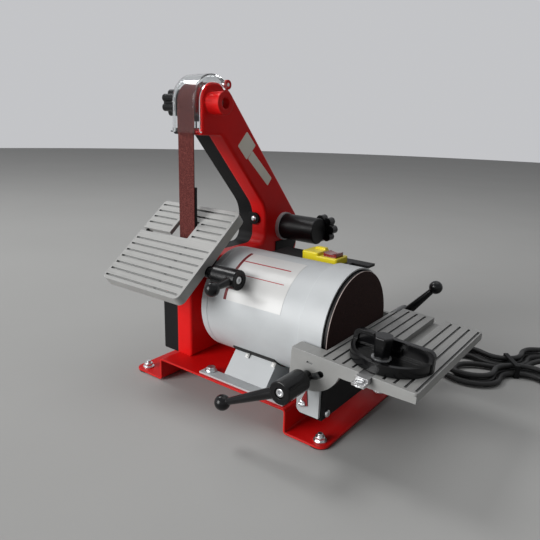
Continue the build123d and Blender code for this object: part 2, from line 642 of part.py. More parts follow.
lug = cyl_y(LUG_R, lug_y, throat_y + HOUSE_WALL, LUG_X, LUG_Z)
lug += box(SEAM_X - 4, LUG_X, lug_y, throat_y + HOUSE_WALL, LUG_Z - LUG_R, LUG_Z + LUG_R)
lug -= along_x(skin, SEAM_X - 9, HOUSE_X1)
bolt_cut = cyl_y(SMALL_SCREW_R + HOLE_PLAY, lug_y - 1, throat_y + HOUSE_WALL + 4, LUG_X, LUG_Z)
cover = cover + lug - bolt_cut
housing -= bolt_cut
dome = fillet(cyl_z(SMALL_HEAD_R, 0, SMALL_HEAD_H).edges().group_by(Axis.Z)[-1], SMALL_HEAD_H * 0.9)
arm_bolt = Pos(LUG_X, lug_y, LUG_Z) * Rot(90, 0, 0) * (dome + cyl_z(SMALL_SCREW_R, -LUG_T - HOUSE_WALL, 0))

# platen behind the front run
platen_y0 = belt_front + BELT_T + 0.5
platen = box(belt_x0 - 0.5, belt_x1 + 0.5, platen_y0, platen_y0 + PLATEN_T, throat_floor, PLATEN_TOP)
foot_x0, foot_x1 = SEAM_X + 1, HOUSE_X1 - 4
platen += box(foot_x0, foot_x1, platen_y0, platen_y0 + PLATEN_FOOT, throat_floor, throat_floor + PLATEN_T)
pan_screws = []
for sx in (foot_x0 + 5, foot_x1 - 5):
    spot = Pos(sx, platen_y0 + 14, throat_floor + PLATEN_T)
    cut = spot * cyl_z(SMALL_SCREW_R + HOLE_PLAY, -12, 1)
    platen -= cut
    housing -= cut
    pan_screws.append(spot * pan_screw(SMALL_HEAD_R, SMALL_HEAD_H, SMALL_SCREW_R, 9.0))

# visor over the top wheel
def visor_block(r, x0, x1, low, back, left_edge, right_edge):
    """Solid half round about the top axle, straight down in front, with rounded ends."""
    front = TOP_Y - r
    rear = (TOP_Y + r * cos(radians(back)), TOP_Z + r * sin(radians(back)))
    face = make_face([
        Line((front, low), (front, TOP_Z)), ThreePointArc((front, TOP_Z), (TOP_Y, TOP_Z + r), rear),
        Line(rear, (TOP_Y, TOP_Z)), Line((TOP_Y, TOP_Z), (TOP_Y, low)), Line((TOP_Y, low), (front, low)),
    ])
    block = along_x(face, x0, x1)
    for end, edge in ((0, left_edge), (-1, right_edge)):
        rim = block.faces().sort_by(Axis.X)[end].edges()
        rim = [e for e in rim if e.geom_type == GeomType.CIRCLE or abs(e.center().Y - front) < 0.01]
        block = fillet(rim, edge)
    return block


visor_out = VISOR_R + VISOR_T
side_in = VISOR_R - VISOR_SIDE
wall_y = TOP_Y - side_in
visor = visor_block(visor_out, VISOR_X0, VISOR_X1, VISOR_LOW, VISOR_BACK, VISOR_ROUND, VISOR_CORNER)
visor -= visor_block(VISOR_R, VISOR_X0 + VISOR_T, VISOR_X1 - VISOR_T, VISOR_LOW - 1, VISOR_BACK - 20,
                     VISOR_ROUND - VISOR_T, VISOR_CORNER - VISOR_T)
visor -= cyl_x(side_in, VISOR_X0 - 1, VISOR_X1 + 1, TOP_Y, TOP_Z)
visor -= box(VISOR_X0 - 1, VISOR_X1 + 1, wall_y, TOP_Y + VISOR_R, VISOR_LOW - 1, TOP_Z)


def lip_plan(grow, back):
    """Plan of the visor's lower edge, grown outwards or inwards."""
    x0, x1, front = VISOR_X0 - grow, VISOR_X1 + grow, TOP_Y - visor_out - grow
    return rounded([(x0, back), (x0, front), (x1, front), (x1, back)],
                   [0, VISOR_ROUND + grow, VISOR_CORNER + grow, 0])


lip = lip_plan(VISOR_LIP, wall_y) - lip_plan(-VISOR_T, wall_y + 1)
visor += along_z(lip, VISOR_LOW, VISOR_LOW + VISOR_LIP_T)
lug_gap = 0.5
lug_x0, lug_x1 = HOUSE_X1 - HOUSE_WALL - lug_gap, HOUSE_X1 + lug_gap
visor -= box(lug_x0, lug_x1, -2, 40, TOP_Z, 400)
visor += cyl_x(KNUCKLE_R, lug_x0 - KNUCKLE_L, lug_x0, HINGE_Y, HINGE_Z)
visor -= cyl_x(PIN_R + RUN_FIT, lug_x0 - KNUCKLE_L - 1, lug_x0 + 1, HINGE_Y, HINGE_Z)
visor_pin = cyl_x(PIN_R, lug_x0 - KNUCKLE_L, HOUSE_X1, HINGE_Y, HINGE_Z)

# belt table, drawn level and then tilted about the line where it meets the belt
bt_axis = Axis((0, belt_front, BT_Z), (1, 0, 0))
bt_y0, bt_y1 = belt_front - BT_FRONT, belt_front + BT_BACK
plan = rounded([(BT_X0, bt_y0), (BT_X1, bt_y0), (BT_X1, bt_y1), (BT_X0, bt_y1)], [7, 7, 7, 4])
table = along_z(plan, BT_Z - BT_DEPTH, BT_Z)
table -= box(BT_X0 + BT_RIM, BT_X1 - BT_RIM, bt_y0 + BT_RIM, bt_y1 - BT_RIM,
             BT_Z - BT_DEPTH - 1, BT_Z - BT_PLATE)
open_y0, open_y1 = belt_front - BT_OPEN_FRONT, belt_front + BT_OPEN_BACK
table -= box(BT_OPEN_X0, BT_OPEN_X1, open_y0, open_y1, BT_Z - 40, BT_Z + 5)
table -= box(BT_X0 - 5, BT_OPEN_X0 + 5, open_y0 - 1, open_y0 - 1 + BT_SLOT_W, BT_Z - 40, BT_Z + 5)


def belt_groove(x0, x1, y):
    return box(x0, x1, y - GROOVE_W / 2, y + GROOVE_W / 2, BT_Z - GROOVE_D, BT_Z + 1)


groove_x0, groove_x1 = BT_X0 + GROOVE_IN, BT_X1 - BT_RIM
for i in range(7):
    table -= belt_groove(groove_x0, groove_x1, bt_y0 + 5.8 + GROOVE_PITCH * i)
for i in range(5):
    gy = belt_front - 13.7 + GROOVE_PITCH * i
    beside = gy < open_y1 + 3
    if beside and i:
        table -= belt_groove(groove_x0, BT_OPEN_X0 - 4, gy)
    if beside:
        table -= belt_groove(BT_OPEN_X1 + 4, groove_x1, gy)
    else:
        table -= belt_groove(groove_x0, groove_x1, gy)
stud_r = hypot(BT_STUD_S, BT_STUD_H)
stud_level = degrees(atan2(BT_STUD_S, BT_STUD_H))
stud_now = stud_level - BT_TILT
stud_y = belt_front - stud_r * sin(radians(stud_now))
stud_z = BT_Z - stud_r * cos(radians(stud_now))
print("belt table stud", round(stud_y, 2), round(stud_z, 2), "angle", round(stud_now, 2))
plate_x0 = HOUSE_X1
plate_x1 = plate_x0 + 5.0
quad_x0 = plate_x1 + 0.8
quad_x1 = quad_x0 + 4.0
quad_r = stud_r + 8.0
quad_low = 18.0
quad_face = make_face(Polyline(
    (belt_front + 6, BT_Z - BT_PLATE), (belt_front - 90, BT_Z - BT_PLATE), (belt_front - 90, BT_Z - 90),
    (belt_front - 90 * tan(radians(quad_low)), BT_Z - 90), close=True))
quad_face = quad_face & Pos(belt_front, BT_Z) * Circle(quad_r)
quad_face -= arc_slot(belt_front, BT_Z, stud_r, STUD_R * 2 + 0.8, -stud_level - 1.6, -stud_now + 0.8)
quad = along_x(quad_face, quad_x0, quad_x1)
sleeve_r = 6.6
table -= cyl_x(sleeve_r + 1.2, BT_X1 - BT_RIM - 1, BT_X1 + 1, belt_front - BT_STUD_S, BT_Z - BT_STUD_H)
pin_x, pin_z = BT_X0 + TABLE_PIN_IN, BT_Z - TABLE_PIN_R - 1
table_pin = cyl_y(TABLE_PIN_R, open_y0 - 5, open_y0 + BT_SLOT_W + 3, pin_x, pin_z)
table -= table_pin
table = table.rotate(bt_axis, BT_TILT)
quad = quad.rotate(bt_axis, BT_TILT)
table_pin = table_pin.rotate(bt_axis, BT_TILT)
plate = rounded([(stud_y - 9, stud_z - 9), (-22, 126), (-22, throat_floor), (stud_y + 8, stud_z + 9),
                 (stud_y - 9, stud_z + 9)], [7, 4, 4, 3, 7])
table_bracket = along_x(plate, plate_x0, plate_x1) - cyl_x(STUD_R, plate_x0 - 1, plate_x1 + 1, stud_y, stud_z)
housing -= box(HOUSE_X1, cap_x0 + 1, -90, -14, 122, 200)
bt_stud = cyl_x(STUD_R, plate_x0, BT_X1 + 26, stud_y, stud_z)
for sy, sz in ((-32, 142), (-45, 138)):
    spot = Pos(plate_x1, sy, sz) * Rot(0, 90, 0)
    cut = spot * cyl_z(SMALL_SCREW_R + HOLE_PLAY, -12, 1)
    sunk = SMALL_HEAD_H + HOLE_PLAY
    table_bracket -= cut + spot * cyl_z(SMALL_HEAD_R + GAP, -sunk, 1)
    housing -= cut
    pan_screws.append(spot * Pos(0, 0, -sunk) * pan_screw(SMALL_HEAD_R, SMALL_HEAD_H, SMALL_SCREW_R, 6.0))
lever_x0 = BT_X1 + GAP
belt_lever_at = Pos(lever_x0, stud_y, stud_z) * Rot(0, 90, 0)
belt_lever = belt_lever_at * lever(BELT_ARM_U, BELT_ARM_V, BELT_LEAN, BELT_NECK)
belt_lever += cyl_x(sleeve_r, quad_x1 + GAP, lever_x0 + 2, stud_y, stud_z)
belt_lever -= cyl_x(STUD_R + RUN_FIT, quad_x1, lever_x0 + 26, stud_y, stud_z)
belt_screw = belt_lever_at * lever_screw(BELT_NECK)

# disc table, drawn level and then tilted
dt_axis = Axis((DT_PX, 0, DT_PZ), (0, 1, 0))
plan = rounded([(DT_WING_X, DT_Y0), (DT_OUT, DT_Y0), (DT_OUT, DT_Y1), (DT_IN + 6, DT_Y1), (DT_IN, 71.0),
                (DT_IN, DT_WING_Y), (DT_WING_X, DT_WING_Y)], [1, 3, 3, 2, 2, 1, 1])
disc_table = along_z(plan, DT_TOP - DT_PLATE, DT_TOP)
under_z = DT_TOP - DT_PLATE - 0.1
under = make_face(Polyline((DT_IN - 1, DT_TOP - 1.5), (DT_IN, DT_TOP - 1.5), (DT_IN + 9.2, under_z),
                           (DT_IN - 1, under_z), close=True))
disc_table -= along_y(under, DT_WING_Y, DT_Y1 + 1)
rim = make_face(Polyline((DT_WING_X, DT_TOP - 3), (DT_OUT, DT_TOP - 3), (DT_OUT, DT_TOP - DT_PLATE),
                         (DT_OUT - 66, DT_TOP - DT_APRON), (DT_WING_X, DT_TOP - DT_APRON), close=True))
cheek = Pos((DT_WING_X + DT_PX + 50) / 2, DT_PZ - 26) * Rectangle(DT_PX + 50 - DT_WING_X, 48)
round_plate = along_y(cheek & Pos(DT_PX, DT_PZ) * Circle(DT_ROUND_R), 0, DT_RIM)
disc_table += along_y(rim, DT_Y0, DT_Y0 + DT_RIM) + Pos(0, DT_Y0, 0) * round_plate
rear_rim = along_y(rim, DT_Y1 - DT_RIM, DT_Y1) & box(DT_IN + 6, 300, -200, 200, 0, 200)
rear_round = round_plate & box(0, 300, -10, 10, 0, DT_TOP - DT_PLATE)
disc_table += rear_rim + Pos(0, DT_Y1 - DT_RIM, 0) * rear_round
slot = along_y(arc_slot(DT_PX, DT_PZ, DT_SLOT_R, DT_SLOT_W, -1.0, 46.0), -200, 200)
disc_table -= slot
disc_table -= box(MITRE_X - MITRE_W / 2, MITRE_X + MITRE_W / 2, -200, 200, DT_TOP - MITRE_D, DT_TOP + 5)
for i in range(4):
    for sx in (-1, 1):
        gx = MITRE_X + sx * (1.5 + i) * GROOVE_PITCH
        disc_table -= box(gx - GROOVE_W / 2, gx + GROOVE_W / 2, DT_Y0 + 4, DT_Y1 - 4,
                          DT_TOP - GROOVE_D, DT_TOP + 1)
disc_table -= box(DT_PX - 1.5, DT_PX + 5.2, DT_Y0 - 1, DT_Y0 + 1.5, DT_PZ - 8, DT_PZ - 6)
disc_table = disc_table.rotate(dt_axis, DT_TILT)
stud_zd = DT_PZ - DT_SLOT_R

# guards and brackets round the disc
lower = box(GUARD_X0, GUARD_X1, -GUARD_Y, GUARD_Y, GUARD_Z0, GUARD_Z1)
lower -= box(GUARD_X0 + GUARD_T, GUARD_X1 - GUARD_T, -GUARD_Y + GUARD_T, GUARD_Y - GUARD_T,
             GUARD_Z0 + GUARD_T, GUARD_Z1 + 1)
lower -= cyl_x(COLLAR_R, GUARD_X0 - 1, GUARD_X0 + GUARD_T + 1, 0, AXIS_Z)
brk_x0, brk_x1 = DT_PX - BRACKET_IN, DT_PX + BRACKET_OUT
brk_y1 = -GUARD_Y
brk_y0 = DT_Y0 + DT_RIM + 0.6
brk = rounded([(brk_x0, BRACKET_LOW), (brk_x1, BRACKET_LOW), (brk_x1, BRACKET_TOP - 13),
               (brk_x1 - 11, BRACKET_TOP), (brk_x0, BRACKET_TOP)], [6, 1, 2, 2, 2])
front_bracket = along_y(brk, brk_y0, brk_y1)
front_bracket -= cyl_y(STUD_R, brk_y0 - 1, brk_y1 + 1, DT_PX, stud_zd)
rear_b1 = DT_Y1 - DT_RIM - 0.6
rear_b0 = rear_b1 - BRACKET_T
rear_bracket = along_y(brk, rear_b0, rear_b1)
rear_bracket += box(brk_x0 + 4, brk_x1 - 4, GUARD_Y, rear_b0, BRACKET_LOW + 2, BRACKET_LOW + 20)
rear_bracket -= cyl_y(STUD_R, rear_b0 - 1, rear_b1 + 1, DT_PX, stud_zd)
stud_out = LEVER_NECK + HUB_LEN - LEVER_CLOSED - 4
studs = [bt_stud, cyl_y(STUD_R, DT_Y0 - GAP - stud_out, brk_y1, DT_PX, stud_zd),
         cyl_y(STUD_R, rear_b0, DT_Y1 + GAP + stud_out, DT_PX, stud_zd)]
pointer_x, pointer_z = brk_x0 + 7.4, BRACKET_LOW + 12
pointer = make_face(Polyline((pointer_x - 3.4, pointer_z - 2), (pointer_x + 6.2, pointer_z - 2),
                             (pointer_x + 4.4, pointer_z + 16), close=True))
pointer = along_y(pointer, brk_y0 - POINTER_T, brk_y0)
guard_screw_y = GUARD_Y - 9
guard_screw_z = GUARD_Z0 + 5
guard_screw_spots = [Pos(pointer_x, brk_y0 - POINTER_T, pointer_z) * Rot(90, 0, 0),
                     Pos(GUARD_X1, -guard_screw_y, guard_screw_z) * Rot(0, 90, 0),
                     Pos(GUARD_X1, guard_screw_y, guard_screw_z) * Rot(0, 90, 0)]
for spot in guard_screw_spots:
    cut = spot * cyl_z(SMALL_SCREW_R + HOLE_PLAY, -20, 1)
    lower -= cut
    front_bracket -= cut
    pointer -= cut
    pan_screws.append(spot * pan_screw(SMALL_HEAD_R, SMALL_HEAD_H, SMALL_SCREW_R, 9.0))
front_at = Pos(DT_PX, DT_Y0 - GAP, stud_zd) * Rot(90, 0, 0)
front_lever = front_at * lever(FRONT_ARM_U, FRONT_ARM_V, LEVER_LEAN, LEVER_NECK)
front_screw = front_at * lever_screw(LEVER_NECK)
rear_at = Pos(DT_PX, DT_Y1 + GAP, stud_zd) * Rot(-90, 0, 0)
rear_lever = rear_at * lever(REAR_ARM_U, REAR_ARM_V, LEVER_LEAN, LEVER_NECK)
rear_screw = rear_at * lever_screw(LEVER_NECK)

# mitre gauge, drawn on the level table and tilted with it
bar_x0, bar_x1 = MITRE_X - MITRE_W / 2 + GAP, MITRE_X + MITRE_W / 2 - GAP
bar_y0, bar_z0 = DT_Y0 - 7, DT_TOP - MITRE_D + GAP
bar = box(bar_x0, bar_x1, bar_y0, bar_y0 + MITRE_BAR, bar_z0, DT_TOP - 0.3)
bar = chamfer(bar.edges().filter_by(Axis.X).group_by(Axis.Y)[-1], 1.0)
bar += box(bar_x0, bar_x1, bar_y0 - MITRE_NOSE, bar_y0 + 1, bar_z0, bar_z0 + MITRE_NOSE_T)
fence_y = DT_Y0 + FENCE_IN
pivot_y = fence_y - MITRE_PIVOT
bar += cyl_z(MITRE_PIN_R, DT_TOP - 1, DT_TOP + MITRE_PIN_UP, MITRE_X, pivot_y)
head_z = DT_TOP + GAP
head_top = head_z + HEAD_T
head_x = MITRE_X + HEAD_OFF


def half_moon(inset):
    y, half = fence_y, HEAD_L / 2 - inset * 1.1
    return make_face([Line((head_x - half, y), (head_x + half, y)), ThreePointArc(
        (head_x + half, y), (head_x, fence_y - HEAD_DEEP + inset), (head_x - half, y))])


knob_px, knob_py = MITRE_X + MITRE_KNOB_X, fence_y - MITRE_KNOB_Y
dish_z = head_top - HEAD_DISH
boss_top = dish_z + MITRE_BOSS_H
dish = along_z(half_moon(HEAD_RIM), dish_z, head_top + 1)
head = along_z(half_moon(0.0), head_z, head_top) - dish
fence_x = MITRE_X + FENCE_OFF
fence_x0, fence_x1 = fence_x - FENCE_L / 2, fence_x + FENCE_L / 2
fence_top = head_z + FENCE_H
fence = rounded([(fence_x0, head_z), (fence_x1, head_z), (fence_x1, fence_top), (fence_x0, fence_top)],
                [1, 1, 7, 7])
head += along_y(fence, fence_y - 1, fence_y + FENCE_T)
for x0, x1 in ((fence_x0 + 5, knob_px - 13), (knob_px + 13, fence_x1 - 5)):
    z0, z1 = dish_z + 3, fence_top - 4
    pocket = rounded([(x0, z0), (x1, z0), (x1, z1), (x0, z1)], [2, 2, 4, 4])
    head -= along_y(pocket, fence_y - 2, fence_y + 1)
head += cyl_z(MITRE_BOSS_R, dish_z - 1, boss_top, knob_px, knob_py)
head += cyl_z(MITRE_PIN_R, dish_z, boss_top + MITRE_WASHER_T + MITRE_STUD, knob_px, knob_py)
head -= cyl_z(MITRE_PIN_R + RUN_FIT, head_z - 1, DT_TOP + MITRE_PIN_UP + GAP, MITRE_X, pivot_y)
washer = cyl_z(MITRE_WASHER_R, boss_top, boss_top + MITRE_WASHER_T, knob_px, knob_py)
washer -= cyl_z(MITRE_PIN_R, head_z, boss_top + 40, knob_px, knob_py)
knob_foot = RegularPolygon(MITRE_KNOB_FOOT, 6)
knob_foot = fillet(knob_foot.vertices(), MITRE_KNOB_FOOT * 0.3)
knob_top = RegularPolygon(MITRE_KNOB_R, 6)
knob_top = fillet(knob_top.vertices(), MITRE_KNOB_R * 0.3)
mitre_knob = loft([knob_foot, Pos(0, 0, MITRE_KNOB_H) * knob_top])
mitre_knob = fillet(mitre_knob.faces().sort_by(Axis.Z)[-1].edges(), 1.5)
mitre_knob -= cyl_z(MITRE_PIN_R + RUN_FIT, -1, MITRE_STUD + 0.5)
mitre_knob = Pos(knob_px, knob_py, boss_top + MITRE_WASHER_T + GAP) * mitre_knob
bar = bar.rotate(dt_axis, DT_TILT)
head = head.rotate(dt_axis, DT_TILT)
washer = washer.rotate(dt_axis, DT_TILT)
mitre_knob = mitre_knob.rotate(dt_axis, DT_TILT)

# switch on a level bracket behind the motor
shelf = box(SW_X0 - SW_LEFT, SW_X1 + 6, SW_Y, SW_Y + SW_SHELF, SW_Z - SW_WALL, SW_Z)
tongue_y0 = SW_Y + SW_SHELF - SW_TONGUE_W
shelf += box(SW_X1 + 5, SW_X1 + 6 + SW_TONGUE, tongue_y0, SW_Y + SW_SHELF, SW_Z - SW_WALL, SW_Z)
web_y1 = SW_Y + SW_WEB_BACK
web = box(SW_X0, SW_X1, web_y1 - 18, web_y1, SW_WEB_LOW, SW_Z - 1)
web -= box(SW_X0 - 1, SW_X1 + 1, web_y1 - 20, web_y1 - 8, SW_WEB_LOW + SW_WEB_STEP, SW_Z)
switch_bracket = shelf + web - cyl_x(MOTOR_R, MOTOR_X0, MOTOR_X1 + 20, 0, AXIS_Z)
rocker_x1 = SW_X1 - 4
rocker_x0 = rocker_x1 - SW_ROCKER_L
rocker_y0, rocker_y1 = SW_Y + 6, SW_Y + 6 + SW_ROCKER_W


def moulded_box(x1, high):
    """Box on the shelf with rounded upright and top edges."""
    block = box(SW_X0, x1, SW_Y + 1, SW_Y + 1 + SW_DEEP, SW_Z, SW_Z + high)
    block = fillet(block.edges().filter_by(Axis.Z), 3)
    return fillet(block.edges().group_by(Axis.Z)[-1], 1.5)


sw_box = moulded_box(SW_X1, SW_LOW) + moulded_box(SW_X0 + SW_STEP, SW_HIGH)
sw_box -= box(rocker_x0 - 1.2, rocker_x1 + 1.2, rocker_y0 - 0.6, rocker_y1 + 0.6, SW_Z + 2.5, SW_Z + 40)
sw_lid = box(SW_X0 + 7, SW_X0 + 22, SW_Y + 20, SW_Y + 26, SW_Z + 4, SW_Z + SW_HIGH + 2.6)
sw_box += fillet(sw_lid.edges().filter_by(Axis.Y), 2)
rocker_low, rocker_top, rocker_dip = SW_Z + 4.5, SW_Z + 12.6, SW_Z + 11.0
rocker_mid = (rocker_x0 + rocker_x1) / 2
rocker_face = make_face([
    Line((rocker_x0, rocker_top), (rocker_x0, rocker_low)),
    Line((rocker_x0, rocker_low), (rocker_x1, rocker_low)),
    Line((rocker_x1, rocker_low), (rocker_x1, rocker_top)),
    ThreePointArc((rocker_x1, rocker_top), (rocker_mid, rocker_dip), (rocker_x0, rocker_top)),
])
rocker = along_y(rocker_face, rocker_y0, rocker_y1)
rocker_pin_z = rocker_low + ROCKER_PIN_R
rocker += cyl_y(ROCKER_PIN_R, rocker_y0 - 2.2, rocker_y1 + 2.2, rocker_mid, rocker_pin_z)
sw_box -= cyl_y(ROCKER_PIN_R + RUN_FIT, rocker_y0 - 2.6, rocker_y1 + 2.6, rocker_mid, rocker_pin_z)

# lead: gland, free stretch, hank, tie and plug
cord_r = CORD_D / 2
gland_x, gland_z = 45.0, 110.0
gland_len = 30.0
gland = Pos(gland_x, web_y1, gland_z) * Rot(-90, 0, 0) * (
    cyl_z(8.5, 0, 4) + Pos(0, 0, 4 + (gland_len - 4) / 2) * Cone(6.4, 4.6, gland_len - 4))
hank_a = HANK_PITCH * 2
rise = HANK_LOBE - hank_a
hank_c = sqrt(4 * HANK_BEND * rise - rise * rise)
layer1, layer2 = HANK_Z, HANK_Z + HANK_PITCH
turn_c, turn_s = cos(radians(HANK_TURN)), sin(radians(HANK_TURN))


def place(u, w, z):
    return Vector(HANK_X + u * turn_c - w * turn_s, HANK_Y + u * turn_s + w * turn_c, z)


hank_edges = []


def hank_arc(p0, pm, p1):
    a, m, b = place(*p0), place(*pm), place(*p1)
    hank_edges.append(ThreePointArc(a, m, b))


def hank_line(p0, p1):
    hank_edges.append(Line(place(*p0), place(*p1)))


def arc_mid(c, r, p, q):
    vu, vw = p[0] + q[0] - 2 * c[0], p[1] + q[1] - 2 * c[1]
    n = hypot(vu, vw)
    return (c[0] + r * vu / n, c[1] + r * vw / n)


def side_run(lobe, side, inset, z, outward):
    """Between the waist and a lobe: two arcs that lie beside those of the next turn."""
    step = inset * HANK_PITCH
    c1 = (0.0, side * (hank_a + HANK_BEND))
    c2 = (lobe * hank_c, side * (HANK_LOBE - HANK_BEND))
    du, dw = c2[0] - c1[0], c2[1] - c1[1]
    n = hypot(du, dw)
    r1, r2 = HANK_BEND + step, HANK_BEND - step
    waist = (0.0, side * (hank_a - step))
    join = (c1[0] + r1 * du / n, c1[1] + r1 * dw / n)
    far = (lobe * hank_c, side * (HANK_LOBE - step))
    m1 = arc_mid(c1, r1, waist, join)
    m2 = arc_mid(c2, r2, join, far)
    if outward:
        hank_arc((*waist, z), (*m1, z), (*join, z))
        hank_arc((*join, z), (*m2, z), (*far, z))
    else:
        hank_arc((*far, z), (*m2, z), (*join, z))
        hank_arc((*join, z), (*m1, z), (*waist, z))


def lobe_turn(lobe, w0, w1, z):
    mid = (w0 + w1) / 2
    r = abs(w0 - w1) / 2
    hank_arc((lobe * hank_c, w0, z), (lobe * (hank_c + r), mid, z), (lobe * hank_c, w1, z))


def s_run(p0, p1):
    """Two equal arcs from p0 to p1, both ends along +u."""
    a, b = Vector(*p0), Vector(*p1)
    join = (a + b) * 0.5
    along = Vector(1, 0, 0)
    for p, q, t in ((a, join, along), (join, b, None)):
        chord = q - p
        u = chord.normalized()
        if t is None:
            e = along
            ca = max(-1.0, min(1.0, e.dot(u)))
            v = (u * ca - e).normalized() if ca < 1 else Vector(0, 0, 0)
        else:
            ca = max(-1.0, min(1.0, t.dot(u)))
            v = (t - u * ca).normalized() if ca < 1 else Vector(0, 0, 0)
        half = atan2(sqrt(1 - ca * ca), ca) / 2
        m = (p + q) * 0.5 + v * (chord.length / 2 * tan(half))
        hank_arc((p.X, p.Y, p.Z), (m.X, m.Y, m.Z), (q.X, q.Y, q.Z))


wide, near = HANK_LOBE, HANK_LOBE - HANK_PITCH
slack = 10.0
hank_line((-hank_c - CORD_D, wide, layer1), (-hank_c, wide, layer1))
side_run(-1, 1, 0, layer1, False)
side_run(1, 1, 0, layer1, True)
lobe_turn(1, wide, -wide, layer1)
side_run(1, -1, 0, layer1, False)
side_run(-1, -1, 0, layer1, True)
lobe_turn(-1, -wide, near, layer1)
side_run(-1, 1, 1, layer1, False)
side_run(1, 1, 1, layer1, True)
lobe_turn(1, near, -near, layer1)
side_run(1, -1, 1, layer1, False)
side_run(-1, -1, 1, layer1, True)
lobe_turn(-1, -near, slack, layer1)
s_run((-hank_c, slack, layer1), (0, 0, layer1))
s_run((0, 0, layer1), (hank_c, slack, layer2))
lobe_turn(1, slack, -near, layer2)
side_run(1, -1, 1, layer2, False)
side_run(-1, -1, 1, layer2, True)
lobe_turn(-1, -near, wide, layer2)
side_run(-1, 1, 0, layer2, False)
side_run(1, 1, 0, layer2, True)
plug_r = 15.0
tail = 45.0
s_run((hank_c, wide, layer2), (hank_c + tail, wide, plug_r + 0.2))
hank_end = (hank_c + tail + CORD_D, wide, plug_r + 0.2)
hank_line((hank_c + tail, wide, plug_r + 0.2), hank_end)
hank_wire = Wire(hank_edges)
hank_start = place(-hank_c - CORD_D, wide, layer1)
heading = Vector(turn_c, turn_s, 0)
hank = sweep(Plane(origin=hank_start, z_dir=heading) * Circle(cord_r), path=hank_wire)
steps = 2.0
walk = []
travelled = 0.0
for e in hank_edges:
    count = max(2, int(e.length / steps))
    for i in range(count):
        p = e.position_at(i / count)
        walk.append((p.X, p.Y, p.Z, travelled + e.length * i / count))
    travelled += e.length
least = 1e9
for i, a in enumerate(walk):
    for b in walk[i + 1:]:
        if b[3] - a[3] > 4 * CORD_D:
            least = min(least, (a[0] - b[0]) ** 2 + (a[1] - b[1]) ** 2 + (a[2] - b[2]) ** 2)
print("hank length", round(travelled), "least gap", round(sqrt(least) - CORD_D, 2),
      "volume ratio", round(hank.volume / (pi * cord_r ** 2 * travelled), 4))
tie_w = hank_a + cord_r + 0.7
tie_out = tie_w + 1.2
tie = box(-3, 3, -tie_out, tie_out, 0.1, layer2 + cord_r + 1.9)
tie -= box(-4, 4, -tie_w, tie_w, layer1 - cord_r - 0.5, layer2 + cord_r + 0.7)
tie = Pos(HANK_X, HANK_Y, 0) * Rot(0, 0, HANK_TURN) * tie
plug_at = place(*hank_end)
plug_len = 38.0
plug = fillet(cyl_z(plug_r, 0, plug_len).edges(), 2.5) + Pos(0, 0, -6 + 3.1) * Cone(5.5, 8.5, 6.2)
plug -= cyl_z(cord_r, -10, -6)
for s in (-1, 1):
    plug += cyl_z(2.4, plug_len - 2, plug_len + 19, 0, s * 9.5)
plug = Plane(origin=plug_at + heading * 6.0, x_dir=(0, 0, 1), z_dir=heading) * plug
route = [
    Vector(gland_x, web_y1 + gland_len, gland_z), Vector(gland_x, web_y1 + gland_len + 36, gland_z),
    Vector(48, 176, 80), Vector(60, 200, 42), Vector(85, 211, 13), Vector(112, 214, HANK_Z),
    hank_start - heading * 28, hank_start,
]
route_r = []
for i in range(1, len(route) - 1):
    a, b = route[i] - route[i - 1], route[i + 1] - route[i]
    turn = radians(a.get_angle(b))
    route_r.append(0.45 * min(a.length, b.length) / tan(turn / 2))
print("cord radii", [round(r) for r in route_r])
cord_path = FilletPolyline(*route, radius=route_r)
cord = sweep(Plane(origin=route[0], z_dir=(0, 1, 0)) * Circle(cord_r), path=cord_path)
cord_len = cord_path.length
print("cord length", round(cord_len), "volume ratio", round(cord.volume / (pi * cord_r ** 2 * cord_len), 4))
print("cord route", [tuple(round(c, 2) for c in tuple(p)) for p in route])

parts.update({
    "base_plate": base, "rubber_feet": group(feet), "foot_screws": group(foot_screws),
    "motor_mount": mount, "mount_screws": group(mount_screws), "mount_pads": group(pads),
    "motor_body": motor, "motor_end_cap": cap, "motor_stator": stator,
    "motor_bearings": group(bearings), "motor_shaft": shaft, "rotor_core": rotor,
    "drive_wheel": drive_wheel, "disc_plate": disc_plate, "abrasive_disc": grit, "disc_guard": collar,
    "lower_guard": lower, "belt_housing": housing, "side_cover": cover, "platen": platen,
    "top_axle": top_axle, "rear_axle": rear_axle, "top_wheel": top_wheel, "rear_wheel": rear_wheel,
    "sanding_belt": belt, "tracking_housing": tracking, "tracking_ring": track_ring,
    "tracking_knob": track_knob, "cover_knob": cover_knob, "arm_bolt": arm_bolt, "visor": visor,
    "visor_pin": visor_pin, "belt_table": table, "table_pin": table_pin, "table_quadrant": quad,
    "table_bracket": table_bracket, "belt_table_lever": belt_lever, "belt_lever_screw": belt_screw,
    "disc_table": disc_table, "front_bracket": front_bracket, "rear_bracket": rear_bracket,
    "lock_studs": group(studs), "tilt_pointer": pointer, "front_lever": front_lever,
    "front_lever_screw": front_screw, "rear_lever": rear_lever, "rear_lever_screw": rear_screw,
    "pan_screws": group(pan_screws), "mitre_bar": bar, "mitre_head": head, "mitre_washer": washer,
    "mitre_knob": mitre_knob, "switch_bracket": switch_bracket, "switch_box": sw_box,
    "switch_rocker": rocker, "cord_gland": gland, "cord": cord, "cord_hank": hank, "cord_tie": tie,
    "plug": plug,
})
lead = ("cord", "cord_hank", "cord_tie", "plug")
boxes = [shape.bounding_box() for name, shape in parts.items() if name not in lead]
all_x0, all_x1 = min(b.min.X for b in boxes), max(b.max.X for b in boxes)
all_y0, all_y1 = min(b.min.Y for b in boxes), max(b.max.Y for b in boxes)
mid_x, mid_y = (all_x0 + all_x1) / 2, (all_y0 + all_y1) / 2
print("shift", round(-mid_x, 4), round(-mid_y, 4))
print("size", round(all_x1 - all_x0, 1), round(all_y1 - all_y0, 1), round(max(b.max.Z for b in boxes), 1))
